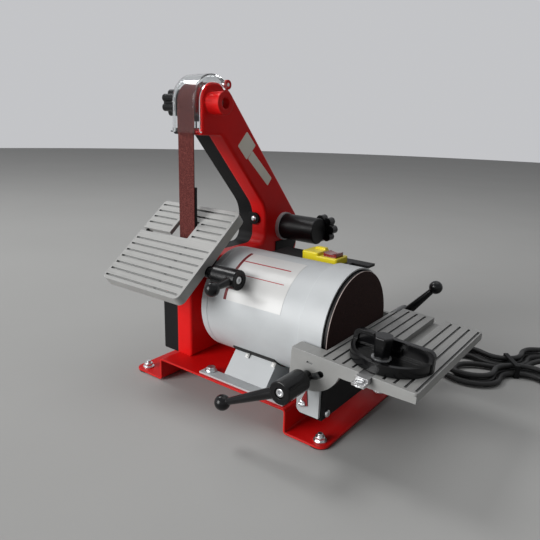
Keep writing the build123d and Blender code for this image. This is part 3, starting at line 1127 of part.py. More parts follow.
for name, shape in parts.items():
    print(name, len(shape.solids()), round(shape.volume))
    export_step(Pos(-mid_x, -mid_y, 0) * shape, f"parts/{name}.step")
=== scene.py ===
import json
from math import atan2, cos, pi, radians, sin, sqrt, tan

import bpy
from mathutils import Matrix, Vector


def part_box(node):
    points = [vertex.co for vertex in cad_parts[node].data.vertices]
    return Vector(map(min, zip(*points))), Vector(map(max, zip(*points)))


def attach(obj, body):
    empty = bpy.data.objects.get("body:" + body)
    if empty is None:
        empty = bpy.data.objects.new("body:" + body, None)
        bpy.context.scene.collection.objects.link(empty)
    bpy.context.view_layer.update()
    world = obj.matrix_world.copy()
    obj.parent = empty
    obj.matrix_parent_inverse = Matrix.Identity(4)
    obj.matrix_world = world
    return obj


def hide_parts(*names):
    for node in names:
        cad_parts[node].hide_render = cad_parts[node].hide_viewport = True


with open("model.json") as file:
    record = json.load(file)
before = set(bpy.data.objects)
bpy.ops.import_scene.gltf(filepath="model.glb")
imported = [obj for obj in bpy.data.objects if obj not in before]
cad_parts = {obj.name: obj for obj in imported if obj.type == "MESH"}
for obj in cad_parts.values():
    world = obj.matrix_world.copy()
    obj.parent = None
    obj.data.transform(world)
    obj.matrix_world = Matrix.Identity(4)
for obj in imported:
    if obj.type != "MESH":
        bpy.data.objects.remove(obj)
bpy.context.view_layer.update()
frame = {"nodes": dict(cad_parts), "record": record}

nodes = frame["nodes"]
scene = bpy.context.scene

MM = 0.001
base_low, base_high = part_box("base_plate")
BASE_MIDDLE = Vector(((base_low[0] + base_high[0]) / 2, (base_low[1] + base_high[1]) / 2, 0.0))


def at(x, y, z):
    """A point in millimetres from the middle of the base, as a point of this scene."""
    return BASE_MIDDLE + Vector((x, y, z)) * MM


# camera

YAW, PITCH, ROLL = 0.643, -0.274, 0.028     # radians
CAMERA_AT = at(374.5, -485.8, 317.2)
SENSOR_WIDE, LENS = 36.0, 35.81             # millimetres


def aim_camera():
    ahead = Vector((-sin(YAW) * cos(PITCH), cos(YAW) * cos(PITCH), sin(PITCH)))
    level = Vector((cos(YAW), sin(YAW), 0.0))
    above = level.cross(ahead)
    right = level * cos(ROLL) + above * sin(ROLL)
    up = above * cos(ROLL) - level * sin(ROLL)
    data = bpy.data.cameras.new("photo_camera")
    data.sensor_fit = "HORIZONTAL"
    data.sensor_width = SENSOR_WIDE
    data.lens = LENS
    data.clip_start = 0.02
    data.clip_end = 50.0
    camera = bpy.data.objects.new("photo_camera", data)
    turn = Matrix((right, up, -ahead)).transposed().to_4x4()
    camera.matrix_world = Matrix.Translation(CAMERA_AT) @ turn
    scene.collection.objects.link(camera)
    scene.camera = camera


aim_camera()


# steps that the finishes are put together from

def material(name):
    made = bpy.data.materials.new(name)
    made.use_nodes = True
    tree = made.node_tree
    tree.nodes.clear()
    out = tree.nodes.new("ShaderNodeOutputMaterial")
    return made, tree, out


def link(tree, source, target):
    tree.links.new(source, target)


def add(tree, kind, **values):
    node = tree.nodes.new(kind)
    for key, value in values.items():
        setattr(node, key, value)
    return node


def noise(tree, place, scale, detail=3.0, roughness=0.55):
    node = add(tree, "ShaderNodeTexNoise")
    node.inputs["Scale"].default_value = scale
    node.inputs["Detail"].default_value = detail
    node.inputs["Roughness"].default_value = roughness
    link(tree, place, node.inputs["Vector"])
    return node.outputs["Fac"]


def spread(tree, value, low, high, from_low=0.25, from_high=0.75):
    """A value drawn out from one range to another and held at its ends."""
    node = add(tree, "ShaderNodeMapRange")
    node.inputs["From Min"].default_value = from_low
    node.inputs["From Max"].default_value = from_high
    node.inputs["To Min"].default_value = low
    node.inputs["To Max"].default_value = high
    link(tree, value, node.inputs["Value"])
    return node.outputs["Result"]


def between(tree, value, first, second):
    """From the first colour, where the value is nothing, to the second. Each may be a socket."""
    node = add(tree, "ShaderNodeMix", data_type="RGBA")
    link(tree, value, node.inputs["Factor"])
    for socket, colour in ((node.inputs[6], first), (node.inputs[7], second)):
        if hasattr(colour, "is_output"):
            link(tree, colour, socket)
        else:
            socket.default_value = (*colour, 1.0)
    return node.outputs[2]


def raised(tree, height, depth, soft_edge=None, strength=1.0):
    """A surface raised by a height pattern, over edges that are rounded if asked."""
    bump = add(tree, "ShaderNodeBump")
    bump.inputs["Strength"].default_value = strength
    bump.inputs["Distance"].default_value = depth
    link(tree, height, bump.inputs["Height"])
    if soft_edge:
        bevel = add(tree, "ShaderNodeBevel", samples=4)
        bevel.inputs["Radius"].default_value = soft_edge
        link(tree, bevel.outputs["Normal"], bump.inputs["Normal"])
    return bump.outputs["Normal"]


def object_place(tree):
    return add(tree, "ShaderNodeTexCoord").outputs["Object"]


def stretched(tree, place, scale):
    node = add(tree, "ShaderNodeMapping")
    node.inputs["Scale"].default_value = scale
    link(tree, place, node.inputs["Vector"])
    return node.outputs["Vector"]


def part_of(tree, vector, axis):
    split = add(tree, "ShaderNodeSeparateXYZ")
    link(tree, vector, split.inputs["Vector"])
    return split.outputs[axis]


def times(tree, a, b):
    node = add(tree, "ShaderNodeMath", operation="MULTIPLY")
    link(tree, a, node.inputs[0])
    link(tree, b, node.inputs[1])
    return node.outputs["Value"]


def within(tree, place, axis, low, high):
    """One where the place lies between two values along an axis, and nothing elsewhere."""
    node = add(tree, "ShaderNodeMath", operation="COMPARE")
    node.inputs[1].default_value = (low + high) / 2
    node.inputs[2].default_value = abs(high - low) / 2
    link(tree, part_of(tree, place, axis), node.inputs[0])
    return node.outputs["Value"]


def within_x(tree, place, x0, x1):
    """The same along X, in millimetres from the middle of the base."""
    return within(tree, place, "X", at(x0, 0, 0).x, at(x1, 0, 0).x)


def shade(colour, factor):
    return tuple(min(1.0, c * factor) for c in colour)


def rubbed_edge(tree, place, width, amount):
    """Strong along edges and broken up, where paint or plastic is rubbed."""
    soft = add(tree, "ShaderNodeBevel", samples=6)
    soft.inputs["Radius"].default_value = width
    meet = add(tree, "ShaderNodeVectorMath", operation="DOT_PRODUCT")
    link(tree, soft.outputs["Normal"], meet.inputs[0])
    link(tree, add(tree, "ShaderNodeNewGeometry").outputs["Normal"], meet.inputs[1])
    edge = spread(tree, meet.outputs["Value"], amount, 0.0, 0.80, 0.99)
    return times(tree, edge, spread(tree, noise(tree, place, 240.0, 5.0, 0.7), 0.25, 1.0, 0.35, 0.65))


def tool_marks(tree, place, tint, colour, scale):
    """Lighter marks along one axis, on upward faces alone."""
    lines = noise(tree, stretched(tree, place, scale), 1.0, 3.0)
    facing = add(tree, "ShaderNodeTexCoord").outputs["Normal"]
    upward = spread(tree, part_of(tree, facing, "Z"), 0.0, 1.0, 0.6, 0.75)
    marks = times(tree, spread(tree, lines, 0.0, 0.6, 0.42, 0.68), upward)
    return between(tree, marks, tint, shade(colour, 1.14))


def painted_groove_shade(tree, place, tint, colour, reach, low_shade, dark_spans):
    """Painted shade darkening the paint down in the grooves, and painted shadow, nearly black, in some
    spans along X.
    """
    shelter = add(tree, "ShaderNodeAmbientOcclusion", samples=6)
    shelter.inputs["Distance"].default_value = reach
    unsheltered = spread(tree, shelter.outputs["AO"], 0.0, 1.0, 0.25, 0.85)
    painted_shade_tint = shade(colour, low_shade)
    # painted shadow: nearly black over each span along X
    for x0, x1 in dark_spans:
        painted_shade_tint = between(tree, within_x(tree, place, x0, x1), painted_shade_tint, shade(colour, 0.03))
    return between(tree, unsheltered, painted_shade_tint, tint)


# finishes

def coated(name, colour, rough, mottle=0.07, mottle_scale=35.0, grain_scale=1400.0, grain_depth=0.00006,
           rough_play=0.07, edge=0.0007, coat=0.0, gloss=0.5, dust=None, rub=None, streak=None, hollow=0.0,
           hollow_shade=0.30, dark_spans=()):
    """A finish with slow colour variation, a fine grain, softened edges and the wear of use, and painted
    shade in its grooves if asked.
    """
    made, tree, out = material(name)
    place = object_place(tree)
    body = add(tree, "ShaderNodeBsdfPrincipled")
    body.inputs["Coat Weight"].default_value = coat
    body.inputs["Coat Roughness"].default_value = 0.12
    body.inputs["Specular IOR Level"].default_value = gloss
    slow = noise(tree, place, mottle_scale, 4.0)
    cloud = spread(tree, slow, 0.0, 1.0, 0.3, 0.7)
    tint = between(tree, cloud, shade(colour, 1 - mottle), shade(colour, 1 + mottle))
    if streak:
        tint = tool_marks(tree, place, tint, colour, streak)
    # painted shade: the colour is darkened where ambient occlusion finds grooves
    if hollow:
        tint = painted_groove_shade(tree, place, tint, colour, hollow, hollow_shade, dark_spans)
    if dust:
        patches = noise(tree, place, mottle_scale * 0.5, 6.0, 0.65)
        tint = between(tree, spread(tree, patches, 0.0, 0.3, 0.5, 0.8), tint, dust)
    if rub:
        tint = between(tree, rubbed_edge(tree, place, edge * 1.6, 0.7), tint, rub)
    link(tree, tint, body.inputs["Base Color"])
    fine = noise(tree, place, grain_scale, 2.0)
    link(tree, spread(tree, slow, rough - rough_play, rough + rough_play), body.inputs["Roughness"])
    link(tree, raised(tree, fine, grain_depth, edge), body.inputs["Normal"])
    link(tree, body.outputs["BSDF"], out.inputs["Surface"])
    return made


def gritty(name, dark, light, scale, depth):
    """Abrasive cloth or paper: coarse grains of two shades standing out of a dull bond."""
    made, tree, out = material(name)
    place = object_place(tree)
    body = add(tree, "ShaderNodeBsdfPrincipled")
    body.inputs["Roughness"].default_value = 0.85
    body.inputs["Specular IOR Level"].default_value = 0.2
    cells = add(tree, "ShaderNodeTexVoronoi")
    cells.inputs["Scale"].default_value = scale
    link(tree, place, cells.inputs["Vector"])
    slow = noise(tree, place, 60.0, 4.0)
    clump = noise(tree, place, scale * 0.3, 4.0, 0.7)
    speck = spread(tree, cells.outputs["Distance"], 1.0, 0.0, 0.1, 0.6)
    tint = between(tree, times(tree, speck, spread(tree, clump, 0.2, 1.2, 0.3, 0.7)), dark, light)
    tint = between(tree, spread(tree, slow, 0.0, 0.4), tint, shade(dark, 1.3))
    link(tree, tint, body.inputs["Base Color"])
    link(tree, raised(tree, speck, depth), body.inputs["Normal"])
    link(tree, body.outputs["BSDF"], out.inputs["Surface"])
    return made


def turned(name, colour, rough, axis, rings=900.0, depth=0.00002):
    """Bare metal with fine tool marks across one axis."""
    made, tree, out = material(name)
    place = object_place(tree)
    body = add(tree, "ShaderNodeBsdfPrincipled")
    body.inputs["Metallic"].default_value = 1.0
    marks = add(tree, "ShaderNodeTexWave", wave_type="BANDS", bands_direction=axis)
    marks.inputs["Scale"].default_value = rings
    marks.inputs["Distortion"].default_value = 1.5
    link(tree, place, marks.inputs["Vector"])
    slow = noise(tree, place, 90.0, 4.0)
    link(tree, between(tree, slow, shade(colour, 0.85), shade(colour, 1.1)), body.inputs["Base Color"])
    link(tree, spread(tree, slow, rough - 0.06, rough + 0.1), body.inputs["Roughness"])
    link(tree, raised(tree, marks.outputs["Fac"], depth, 0.0004), body.inputs["Normal"])
    link(tree, body.outputs["BSDF"], out.inputs["Surface"])
    return made


def clear_moulding(name):
    """Clear plastic with a faint grey cast and a slightly uneven face."""
    made, tree, out = material(name)
    place = object_place(tree)
    body = add(tree, "ShaderNodeBsdfPrincipled")
    body.inputs["IOR"].default_value = 1.30
    body.inputs["Transmission Weight"].default_value = 1.0
    slow = noise(tree, place, 45.0, 3.0)
    link(tree, between(tree, slow, (0.80, 0.82, 0.82), (0.92, 0.93, 0.93)), body.inputs["Base Color"])
    link(tree, spread(tree, slow, 0.02, 0.06), body.inputs["Roughness"])
    link(tree, raised(tree, slow, 0.0003, None, 0.3), body.inputs["Normal"])
    link(tree, body.outputs["BSDF"], out.inputs["Surface"])
    return made


RULE_RED, BAND_RED = (0.36, 0.02, 0.03), (0.16, 0.012, 0.016)
RULE_HALF = 0.35        # half the height of a printed rule


def label_paper(name, colour, rules=(), band=None):
    """Paper with no lettering: plain rules, each a height and its two ends along X, and an upright band."""
    made, tree, out = material(name)
    place = object_place(tree)
    body = add(tree, "ShaderNodeBsdfPrincipled")
    body.inputs["Roughness"].default_value = 0.3
    slow = noise(tree, place, 50.0, 4.0)
    tint = between(tree, slow, shade(colour, 0.94), shade(colour, 1.04))
    for middle, x0, x1 in rules:
        across = within(tree, place, "Z", (middle - RULE_HALF) * MM, (middle + RULE_HALF) * MM)
        tint = between(tree, times(tree, across, within_x(tree, place, x0, x1)), tint, RULE_RED)
    if band:
        tint = between(tree, within_x(tree, place, *band), tint, BAND_RED)
    link(tree, tint, body.inputs["Base Color"])
    link(tree, raised(tree, noise(tree, place, 300.0, 3.0), 0.00005), body.inputs["Normal"])
    link(tree, body.outputs["BSDF"], out.inputs["Surface"])
    return made


RED = (0.66, 0.006, 0.006)
GREY = (0.50, 0.52, 0.53)
CAST = (0.345, 0.345, 0.335)
CAST_RUB = (0.58, 0.6, 0.6)
BLACK = (0.0055, 0.0055, 0.006)
ALONG_X, ALONG_Y = (14.0, 700.0, 700.0), (700.0, 14.0, 700.0)
# painted shadow: the belt table's grooves are painted nearly black over these spans where they start
GROOVE_END_SHADOWS = ((-155.0, -150.6), (-72.4, -68.0))    # where the belt table's grooves start, along X


def cast_table(name, colour, streak, **wear):
    """Painted casting with a machined top, brushed along its grooves, with painted shade darkening the
    grooves.
    """
    return coated(name, colour, 0.46, mottle=0.05, mottle_scale=60.0, grain_scale=800.0, grain_depth=0.0001,
                  edge=0.0008, rub=CAST_RUB, streak=streak, hollow=0.004, **wear)


red_paint = coated("red_powder_coat", RED, 0.38, mottle=0.05, grain_scale=1100.0, grain_depth=0.00008,
                   edge=0.0024, gloss=0.16, rub=(0.72, 0.05, 0.04))
grey_paint = coated("grey_motor_paint", GREY, 0.42, mottle=0.03, grain_scale=1300.0, grain_depth=0.00006,
                    edge=0.001, rub=(0.66, 0.68, 0.69))
# belt table: light painted shade in the grooves, and painted shadow where they start
belt_table_paint = cast_table("belt_table_paint", CAST, ALONG_X, hollow_shade=0.62, dark_spans=GROOVE_END_SHADOWS)
# disc table: the belt table's cast paint copied 14% darker as painted shade, with darker painted shade in
# its grooves
disc_table_paint_shaded = cast_table("disc_table_paint_shaded", shade(CAST, 0.86), ALONG_Y)
black_plastic = coated("black_moulding", BLACK, 0.55, mottle=0.2, grain_scale=1800.0, grain_depth=0.00007,
                       edge=0.0012, gloss=0.16, dust=(0.010, 0.010, 0.010), rub=(0.013, 0.013, 0.013))
gloss_black = coated("glossy_black_moulding", (0.0045, 0.0045, 0.005), 0.22, mottle=0.15, grain_scale=500.0,
                     grain_depth=0.00002, edge=0.0010, gloss=0.28, rub=(0.010, 0.010, 0.010))
satin_black = coated("satin_black_moulding", (0.005, 0.005, 0.0055), 0.40, mottle=0.2, grain_scale=1200.0,
                     grain_depth=0.00004, edge=0.0010, gloss=0.2, rub=(0.011, 0.011, 0.011))
black_paint = coated("black_plate_paint", (0.007, 0.007, 0.0075), 0.45, mottle=0.2, grain_scale=1500.0,
                     gloss=0.22)
rubber = coated("foot_rubber", (0.014, 0.014, 0.014), 0.72, mottle=0.2, grain_scale=900.0, edge=0.0005,
                gloss=0.3)
cord_sheath = coated("lead_sheath", (0.012, 0.012, 0.012), 0.5, mottle=0.2, grain_scale=700.0, edge=None,
                     gloss=0.35)
yellow_plastic = coated("yellow_switch_moulding", (0.83, 0.68, 0.012), 0.33, mottle=0.04, edge=0.0008)
switch_red = coated("rocker_red", (0.22, 0.010, 0.007), 0.18, mottle=0.06, edge=0.0006, coat=0.5)
pointer_red = coated("pointer_red", (0.30, 0.008, 0.010), 0.35, mottle=0.06, edge=0.0003)
white_clip = coated("white_clip", (0.72, 0.72, 0.70), 0.4, mottle=0.04, edge=0.0004)
paper_edge = coated("disc_paper_edge", (0.55, 0.45, 0.42), 0.7, mottle=0.2, grain_scale=900.0, edge=None)
laminated = turned("stacked_sheet", (0.32, 0.31, 0.30), 0.45, "X")
steel = turned("turned_steel", (0.56, 0.56, 0.56), 0.36, "X")
bright = turned("zinc_plate", (0.72, 0.73, 0.74), 0.27, "Z", 500.0, 0.000005)
wheel_alloy = turned("wheel_alloy", (0.60, 0.60, 0.60), 0.34, "X")
belt_cloth = gritty("belt_grit", (0.080, 0.017, 0.015), (0.31, 0.088, 0.075), 950.0, 0.0003)
disc_paper = gritty("disc_grit", (0.012, 0.0035, 0.0028), (0.052, 0.016, 0.012), 1100.0, 0.0002)
clear_sheet = clear_moulding("visor_moulding")

slot_finish = {
    "red_paint": red_paint, "grey_paint": grey_paint, "cast_grey": belt_table_paint,
    "black_plastic": black_plastic, "black_paint": black_paint, "steel": steel, "bright": bright,
    "rubber": rubber, "grit_belt": belt_cloth, "grit_disc": disc_paper, "yellow": yellow_plastic,
    "switch_red": switch_red, "pointer_red": pointer_red, "clear": clear_sheet, "cord_black": cord_sheath,
    "laminated": laminated, "wheel_alloy": wheel_alloy,
}
node_finish = {
    "disc_table": disc_table_paint_shaded, "mitre_head": gloss_black, "mitre_knob": gloss_black,
    "front_lever": gloss_black, "rear_lever": gloss_black, "belt_table_lever": gloss_black,
    "tracking_knob": gloss_black, "tracking_housing": satin_black, "cover_knob": gloss_black,
}


def dress(piece, finish):
    if not piece.material_slots:
        piece.data.materials.append(finish)
    for place in piece.material_slots:
        place.material = finish


for row in frame["record"]["subparts"]:
    dress(nodes[row["node"]], node_finish.get(row["node"], slot_finish[row["material_slot"]]))


# the lead: one smooth line from the gland through the hank to the plug

CORD_D = 7.0
HANK_X, HANK_Y, HANK_TURN = 240.0, 236.0, 36.0
HANK_LOBE, HANK_BEND, HANK_PITCH, HANK_Z = 48.0, 30.0, 7.5, 5.0
HANK_SLACK = 10.0       # how far the run through the waist swings aside at its ends
WAIST = HANK_PITCH * 2
TAIL, PLUG_MID = 45.0, 15.2
LOBE_STEP = 45.0        # degrees between the points round a lobe

free_route = [at(45, 103.79, 110), at(45, 139.79, 110), at(48, 176, 80), at(60, 200, 42), at(85, 211, 13),
              at(112, 214, 5), at(140.12, 222.77, 5)]


def hank_route():
    """Control points of the hank's turns: two at each side of the waist and four round each lobe."""
    rise = HANK_LOBE - WAIST
    reach = sqrt(4 * HANK_BEND * rise - rise * rise)
    half_bend = atan2(reach, 2 * HANK_BEND - rise) / 2
    low, high = HANK_Z, HANK_Z + HANK_PITCH
    near = HANK_LOBE - HANK_PITCH
    points = []

    def put(u, w, z):
        c, s = cos(radians(HANK_TURN)), sin(radians(HANK_TURN))
        points.append(at(HANK_X + u * c - w * s, HANK_Y + u * s + w * c, z))

    def side(lobe, edge, inset, z, outward):
        step = inset * HANK_PITCH
        waist = (lobe * (HANK_BEND + step) * tan(half_bend), edge * (WAIST - step))
        far = (lobe * (reach - (HANK_BEND - step) * tan(half_bend)), edge * (HANK_LOBE - step))
        for u, w in ((waist, far) if outward else (far, waist)):
            put(u, w, z)

    def turn(lobe, w0, w1, z):
        middle, r = (w0 + w1) / 2, (w0 - w1) / 2
        corner = 1 / cos(radians(LOBE_STEP / 2))
        for i in range(4):
            a = radians(LOBE_STEP * (i + 0.5))
            put(lobe * (reach + abs(r) * corner * sin(a)), middle + r * corner * cos(a), z)

    def both(edge, inset, z, lobe):
        side(lobe, edge, inset, z, False)
        side(-lobe, edge, inset, z, True)

    put(-reach - CORD_D, HANK_LOBE, low)
    both(1, 0, low, -1)
    turn(1, HANK_LOBE, -HANK_LOBE, low)
    both(-1, 0, low, 1)
    turn(-1, -HANK_LOBE, near, low)
    both(1, 1, low, -1)
    turn(1, near, -near, low)
    both(-1, 1, low, 1)
    turn(-1, -near, HANK_SLACK, low)
    put(-reach * 0.7, HANK_SLACK, low)
    put(-reach * 0.3, 0.0, low)
    put(reach * 0.3, 0.0, low)
    put(reach * 0.7, HANK_SLACK, high)
    turn(1, HANK_SLACK, -near, high)
    both(-1, 1, high, 1)
    turn(-1, -near, HANK_LOBE, high)
    both(1, 0, high, -1)
    put(reach + TAIL * 0.3, HANK_LOBE, high)
    put(reach + TAIL * 0.7, HANK_LOBE, PLUG_MID)
    put(reach + TAIL + CORD_D, HANK_LOBE, PLUG_MID)
    return points


def lay_lead():
    route = free_route + hank_route()
    data = bpy.data.curves.new("power_lead", "CURVE")
    data.dimensions = "3D"
    data.resolution_u = 8
    data.bevel_depth = CORD_D / 2 * MM
    data.bevel_resolution = 4
    data.use_fill_caps = True
    line = data.splines.new("NURBS")
    line.points.add(len(route) - 1)
    for spot, p in zip(line.points, route):
        spot.co = (*p, 1.0)
    line.order_u = 3
    line.use_endpoint_u = True
    lead = bpy.data.objects.new("power_lead", data)
    scene.collection.objects.link(lead)
    data.materials.append(cord_sheath)
    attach(lead, "frame")
    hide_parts("cord", "cord_hank")


lay_lead()


# modelling by hand

def select_none():
    if bpy.context.object and bpy.context.object.mode != "OBJECT":
        bpy.ops.object.mode_set(mode="OBJECT")
    bpy.ops.object.select_all(action="DESELECT")


def new_block(x, y, z):
    """A block of a size in millimetres about the origin, as a start."""
    select_none()
    bpy.ops.mesh.primitive_cube_add(size=1.0, location=(0, 0, 0))
    block = bpy.context.object
    block.scale = (x * MM, y * MM, z * MM)
    bpy.ops.object.transform_apply(location=False, rotation=False, scale=True)
    return block


def edit_faces(piece, wanted):
    """Go into edit mode with only the faces selected whose middle and normal pass the test."""
    bpy.ops.object.mode_set(mode="EDIT")
    bpy.ops.mesh.select_mode(type="FACE")
    bpy.ops.mesh.select_all(action="DESELECT")
    bpy.ops.object.mode_set(mode="OBJECT")
    for face in piece.data.polygons:
        face.select = wanted(piece.matrix_world @ face.center, face.normal)
    bpy.ops.object.mode_set(mode="EDIT")


def edit_all():
    bpy.ops.object.mode_set(mode="EDIT")
    bpy.ops.mesh.select_all(action="SELECT")


def leave_edit():
    bpy.ops.object.mode_set(mode="OBJECT")


def is_top(middle, normal):
    return normal.z > 0.9


def apply_modifier(piece, kind, **values):
    step = piece.modifiers.new(kind.lower(), kind)
    for key, value in values.items():
        setattr(step, key, value)
    bpy.ops.object.modifier_apply(modifier=step.name)


def settle(piece, name, finish, body, angle=35.0):
    """Leave a new piece at the origin with its place in its mesh, dressed and carried by its body."""
    if piece.mode != "OBJECT":
        leave_edit()
    bpy.ops.object.transform_apply(location=True, rotation=True, scale=True)
    bpy.ops.object.shade_smooth_by_angle(angle=radians(angle))
    piece.name = name
    piece.data.name = name
    dress(piece, finish)
    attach(piece, body)


# bare label round the front of the motor

AXIS_Z, MOTOR_R = 104.0, 62.4
LABEL_X0, LABEL_X1 = -9.0, 70.0
LABEL_TOP, LABEL_LOW = 11.0, 74.0               # degrees down from the top of the motor
LABEL_GAP, LABEL_THICK = 0.06, 0.18
LABEL_COLOUR = (0.60, 0.60, 0.59)
LABEL_RULES = ((26.0, 60.0), (44.0, 62.0))      # degrees down from the top, and the rule's end along X
LABEL_BAND = (LABEL_X0 - 1.0, LABEL_X0 + 4.0)


def stick_motor_label():
    select_none()
    bpy.ops.mesh.primitive_cylinder_add(vertices=240, radius=(MOTOR_R + LABEL_GAP) * MM,
                                        depth=(LABEL_X1 - LABEL_X0) * MM, end_fill_type="NOTHING",
                                        rotation=(0, pi / 2, 0),
                                        location=at((LABEL_X0 + LABEL_X1) / 2, 0, AXIS_Z))
    label = bpy.context.object
    bpy.context.view_layer.update()
    axis = at(0, 0, AXIS_Z)

    def beyond(middle, normal):
        turn = atan2(axis.y - middle.y, middle.z - axis.z)
        return not radians(LABEL_TOP) < turn < radians(LABEL_LOW)

    edit_faces(label, beyond)
    bpy.ops.mesh.delete(type="FACE")
    leave_edit()
    apply_modifier(label, "SOLIDIFY", thickness=LABEL_THICK * MM, offset=1.0)
    rules = [(AXIS_Z + MOTOR_R * cos(radians(turn)), LABEL_X0, end) for turn, end in LABEL_RULES]
    paper = label_paper("motor_label_paper", LABEL_COLOUR, rules, LABEL_BAND)
    settle(label, "motor_label", paper, "frame")


# two bare plates on the arm, each by the middles of its ends as Y and Z, its width, corners and colour

ARM_LABEL_X, ARM_LABEL_THICK = -68.45, 0.2
ARM_LABELS = [("arm_plate", (58.35, 275.2), (40.9, 292.6), 24.5, 1.5, (0.82, 0.78, 0.69)),
              ("arm_strip", (98.9, 235.1), (56.4, 272.5), 13.0, 2.0, (0.84, 0.80, 0.71))]


def stick_arm_label(name, low, high, wide, corner, colour):
    """Rounded plate along the lean of the arm."""
    select_none()
    along = Vector(high) - Vector(low)
    middle = (Vector(low) + Vector(high)) / 2
    bpy.ops.mesh.primitive_plane_add(size=1.0, location=(0, 0, 0))
    label = bpy.context.object
    label.scale = (wide * MM, along.length * MM, 1.0)
    bpy.ops.object.transform_apply(location=False, rotation=False, scale=True)
    edit_all()
    bpy.ops.mesh.bevel(offset=corner * MM, segments=4, affect="VERTICES")
    leave_edit()
    apply_modifier(label, "SOLIDIFY", thickness=ARM_LABEL_THICK * MM, offset=0.0)
    c, s = along.x / along.length, along.y / along.length
    turn = Matrix(((0, 0, 1), (s, c, 0), (-c, s, 0))).to_4x4()
    label.matrix_world = Matrix.Translation(at(ARM_LABEL_X, middle.x, middle.y)) @ turn
    bpy.context.view_layer.update()
    settle(label, name, label_paper(name + "_paper", colour), "frame")


# black plate on the housing's face below the tracking tube

PANEL_AT = at(-68.05, 141.4, 135.85)
PANEL_THICK, PANEL_LONG, PANEL_HIGH = 1.0, 50.2, 27.7
PANEL_CUT_AT, PANEL_CUT_NORMAL = at(-68.05, 160.25, 132.0), (0.0, 0.848, -0.530)
PANEL_RIM, PANEL_RISE, PANEL_EDGE = 1.4, 0.5, 0.2


def set_rear_panel():
    """Plate with its low rear corner cut off and its middle raised."""
    panel = new_block(PANEL_THICK, PANEL_LONG, PANEL_HIGH)
    panel.location = PANEL_AT
    bpy.ops.object.transform_apply(location=True, rotation=True, scale=True)
    edit_all()
    bpy.ops.mesh.bisect(plane_co=PANEL_CUT_AT, plane_no=PANEL_CUT_NORMAL, use_fill=True, clear_outer=True)
    edit_faces(panel, lambda middle, normal: normal.x > 0.9)
    bpy.ops.mesh.inset(thickness=PANEL_RIM * MM, depth=0.0)
    bpy.ops.transform.translate(value=(PANEL_RISE * MM, 0, 0))
    leave_edit()
    apply_modifier(panel, "BEVEL", width=PANEL_EDGE * MM, segments=2)
    settle(panel, "rear_panel", black_plastic, "frame")


# two small clips on the upper edge of the motor mount

CLIP_XS, CLIP_Y, CLIP_Z = (15.5, 53.0), -45.0, 54.6
CLIP_WIDE, CLIP_LONG, CLIP_HIGH = 5.0, 5.5, 2.0
CLIP_INSET, CLIP_EDGE = 0.8, 0.4
CLIP_LEAN = 50.0


def set_mount_clips():
    for i, x in enumerate(CLIP_XS):
        clip = new_block(CLIP_WIDE, CLIP_LONG, CLIP_HIGH)
        edit_faces(clip, is_top)
        bpy.ops.mesh.inset(thickness=CLIP_INSET * MM, depth=0.0)
        bpy.ops.mesh.extrude_region_move(TRANSFORM_OT_translate={"value": (0, 0, CLIP_INSET * MM)})
        leave_edit()
        apply_modifier(clip, "BEVEL", width=CLIP_EDGE * MM, segments=3)
        clip.rotation_euler = (radians(CLIP_LEAN), 0, 0)
        clip.location = at(x, CLIP_Y, CLIP_Z)
        bpy.context.view_layer.update()
        settle(clip, f"mount_clip_{i + 1}", white_clip, "frame")


# hexagon bolt with its washer on the low end of the mitre bar

TILT_X, TILT_Z, TABLE_TILT, TABLE_TOP = 123.0, 101.0, 2.9, 103.6
BOLT_X, BOLT_Y, BOLT_Z = 183.5, -95.5, TABLE_TOP - 3.7
WASHER_R, WASHER_THICK, WASHER_RIM = 4.6, 0.7, 0.9
HEAD_R, HEAD_HIGH, HEAD_RIM, HEAD_RISE, HEAD_EDGE = 3.9, 4.0, 0.7, 0.3, 0.2


def on_disc_table(x, y, z):
    """A point drawn with the disc table level, after the table's tilt at rest."""
    c, s = cos(radians(TABLE_TILT)), sin(radians(TABLE_TILT))
    u, w = x - TILT_X, z - TILT_Z
    return at(TILT_X + u * c + w * s, y, TILT_Z - u * s + w * c)


def set_bar_bolt():
    select_none()
    bpy.ops.mesh.primitive_cylinder_add(vertices=32, radius=WASHER_R * MM, depth=WASHER_THICK * MM,
                                        location=(0, 0, WASHER_THICK / 2 * MM))
    washer = bpy.context.object
    edit_faces(washer, is_top)
    bpy.ops.mesh.inset(thickness=WASHER_RIM * MM, depth=0.0)
    leave_edit()
    bpy.ops.mesh.primitive_cylinder_add(vertices=6, radius=HEAD_R * MM, depth=HEAD_HIGH * MM,
                                        location=(0, 0, (WASHER_THICK + HEAD_HIGH / 2) * MM))
    head = bpy.context.object
    edit_faces(head, is_top)
    bpy.ops.mesh.inset(thickness=HEAD_RIM * MM, depth=0.0)
    bpy.ops.transform.translate(value=(0, 0, HEAD_RISE * MM))
    leave_edit()
    apply_modifier(head, "BEVEL", width=HEAD_EDGE * MM, segments=2)
    washer.select_set(True)
    bpy.ops.object.join()
    bolt = bpy.context.object
    bolt.rotation_euler = (0, radians(TABLE_TILT), 0)
    bolt.location = on_disc_table(BOLT_X, BOLT_Y, BOLT_Z)
    bpy.context.view_layer.update()
    settle(bolt, "mitre_bar_bolt", bright, "mitre_bar", 25.0)


# pale cut edge of the abrasive disc

DISC_R, DISC_FACE = 62.5, 129.3
RIM_R, RIM_BACK = 0.42, 0.5


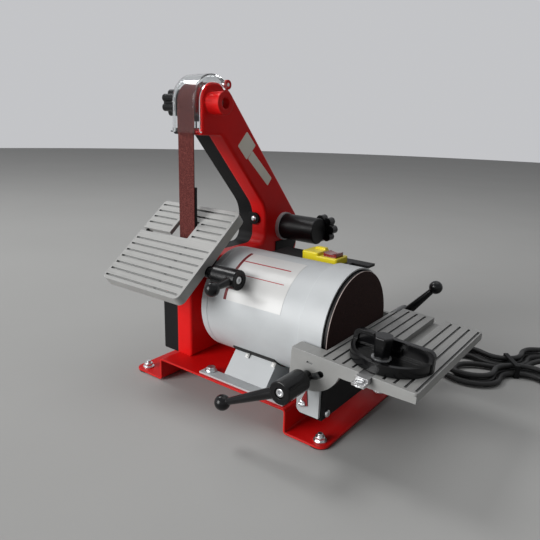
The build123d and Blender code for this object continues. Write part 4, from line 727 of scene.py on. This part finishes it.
def edge_disc_paper():
    select_none()
    rim = at(DISC_FACE - RIM_BACK, -DISC_R, AXIS_Z)
    bpy.ops.mesh.primitive_circle_add(vertices=10, radius=RIM_R * MM, location=rim, rotation=(0, 0, 0))
    ring = bpy.context.object
    bpy.ops.object.transform_apply(location=True, rotation=True, scale=True)
    edit_all()
    bpy.ops.mesh.spin(steps=180, angle=2 * pi, center=at(0, 0, AXIS_Z), axis=(1, 0, 0), use_auto_merge=True)
    bpy.ops.mesh.select_all(action="SELECT")
    bpy.ops.mesh.remove_doubles(threshold=0.00001)
    bpy.ops.mesh.normals_make_consistent(inside=False)
    settle(ring, "disc_paper_edge", paper_edge, "rotor")


stick_motor_label()
for arm_label in ARM_LABELS:
    stick_arm_label(*arm_label)
set_rear_panel()
set_mount_clips()
set_bar_bolt()
edge_disc_paper()


# stage: floor, background and lamps, in metres and watts

FLOOR_R = 5.0
FLOOR_DARK, FLOOR_LIGHT = (0.43, 0.43, 0.42), (0.48, 0.48, 0.47)
AMBIENT, BACKGROUND = 0.11, 0.57
LAMPS = [("window_left", (-2.55, -5.85, 2.16), 3.6, 425.0),
         ("ceiling", (0.2, 0.5, 2.0), 1.6, 8.0),
         ("skylight", (-1.3, -0.1, 1.9), 0.6, 11.0)]
LAMPS_AIM = Vector((0, 0, 0.12))


def pale_floor():
    made, tree, out = material("pale_floor")
    body = add(tree, "ShaderNodeBsdfPrincipled")
    body.inputs["Roughness"].default_value = 0.75
    cloud = noise(tree, object_place(tree), 3.0, 5.0)
    link(tree, between(tree, cloud, FLOOR_DARK, FLOOR_LIGHT), body.inputs["Base Color"])
    link(tree, body.outputs["BSDF"], out.inputs["Surface"])
    return made


def lay_floor():
    select_none()
    bpy.ops.mesh.primitive_circle_add(vertices=180, radius=FLOOR_R, fill_type="NGON", location=(0, 0, 0))
    floor = bpy.context.object
    floor.name = "studio_floor"
    floor.data.materials.append(pale_floor())


def set_background():
    """Pale where it is seen, mirrored or looked through to, and dimmer as a light."""
    world = bpy.data.worlds.new("studio")
    scene.world = world
    world.use_nodes = True
    tree = world.node_tree
    tree.nodes.clear()
    out = tree.nodes.new("ShaderNodeOutputWorld")
    glow = tree.nodes.new("ShaderNodeBackground")
    glow.inputs["Color"].default_value = (0.96, 0.97, 1.0, 1.0)
    rays = tree.nodes.new("ShaderNodeLightPath")
    seen = rays.outputs["Is Camera Ray"]
    for kind in ("Is Glossy Ray", "Is Transmission Ray"):
        either = add(tree, "ShaderNodeMath", operation="MAXIMUM")
        link(tree, seen, either.inputs[0])
        link(tree, rays.outputs[kind], either.inputs[1])
        seen = either.outputs["Value"]
    link(tree, spread(tree, seen, AMBIENT, BACKGROUND, 0.0, 1.0), glow.inputs["Strength"])
    link(tree, glow.outputs["Background"], out.inputs["Surface"])


def hang_lamps():
    for name, place, size, power in LAMPS:
        data = bpy.data.lights.new(name, "AREA")
        data.size = size
        data.energy = power
        lamp = bpy.data.objects.new(name, data)
        lamp.location = place
        lamp.rotation_euler = (LAMPS_AIM - Vector(place)).to_track_quat("-Z", "Y").to_euler()
        scene.collection.objects.link(lamp)


lay_floor()
set_background()
hang_lamps()
scene.view_settings.view_transform = "Standard"
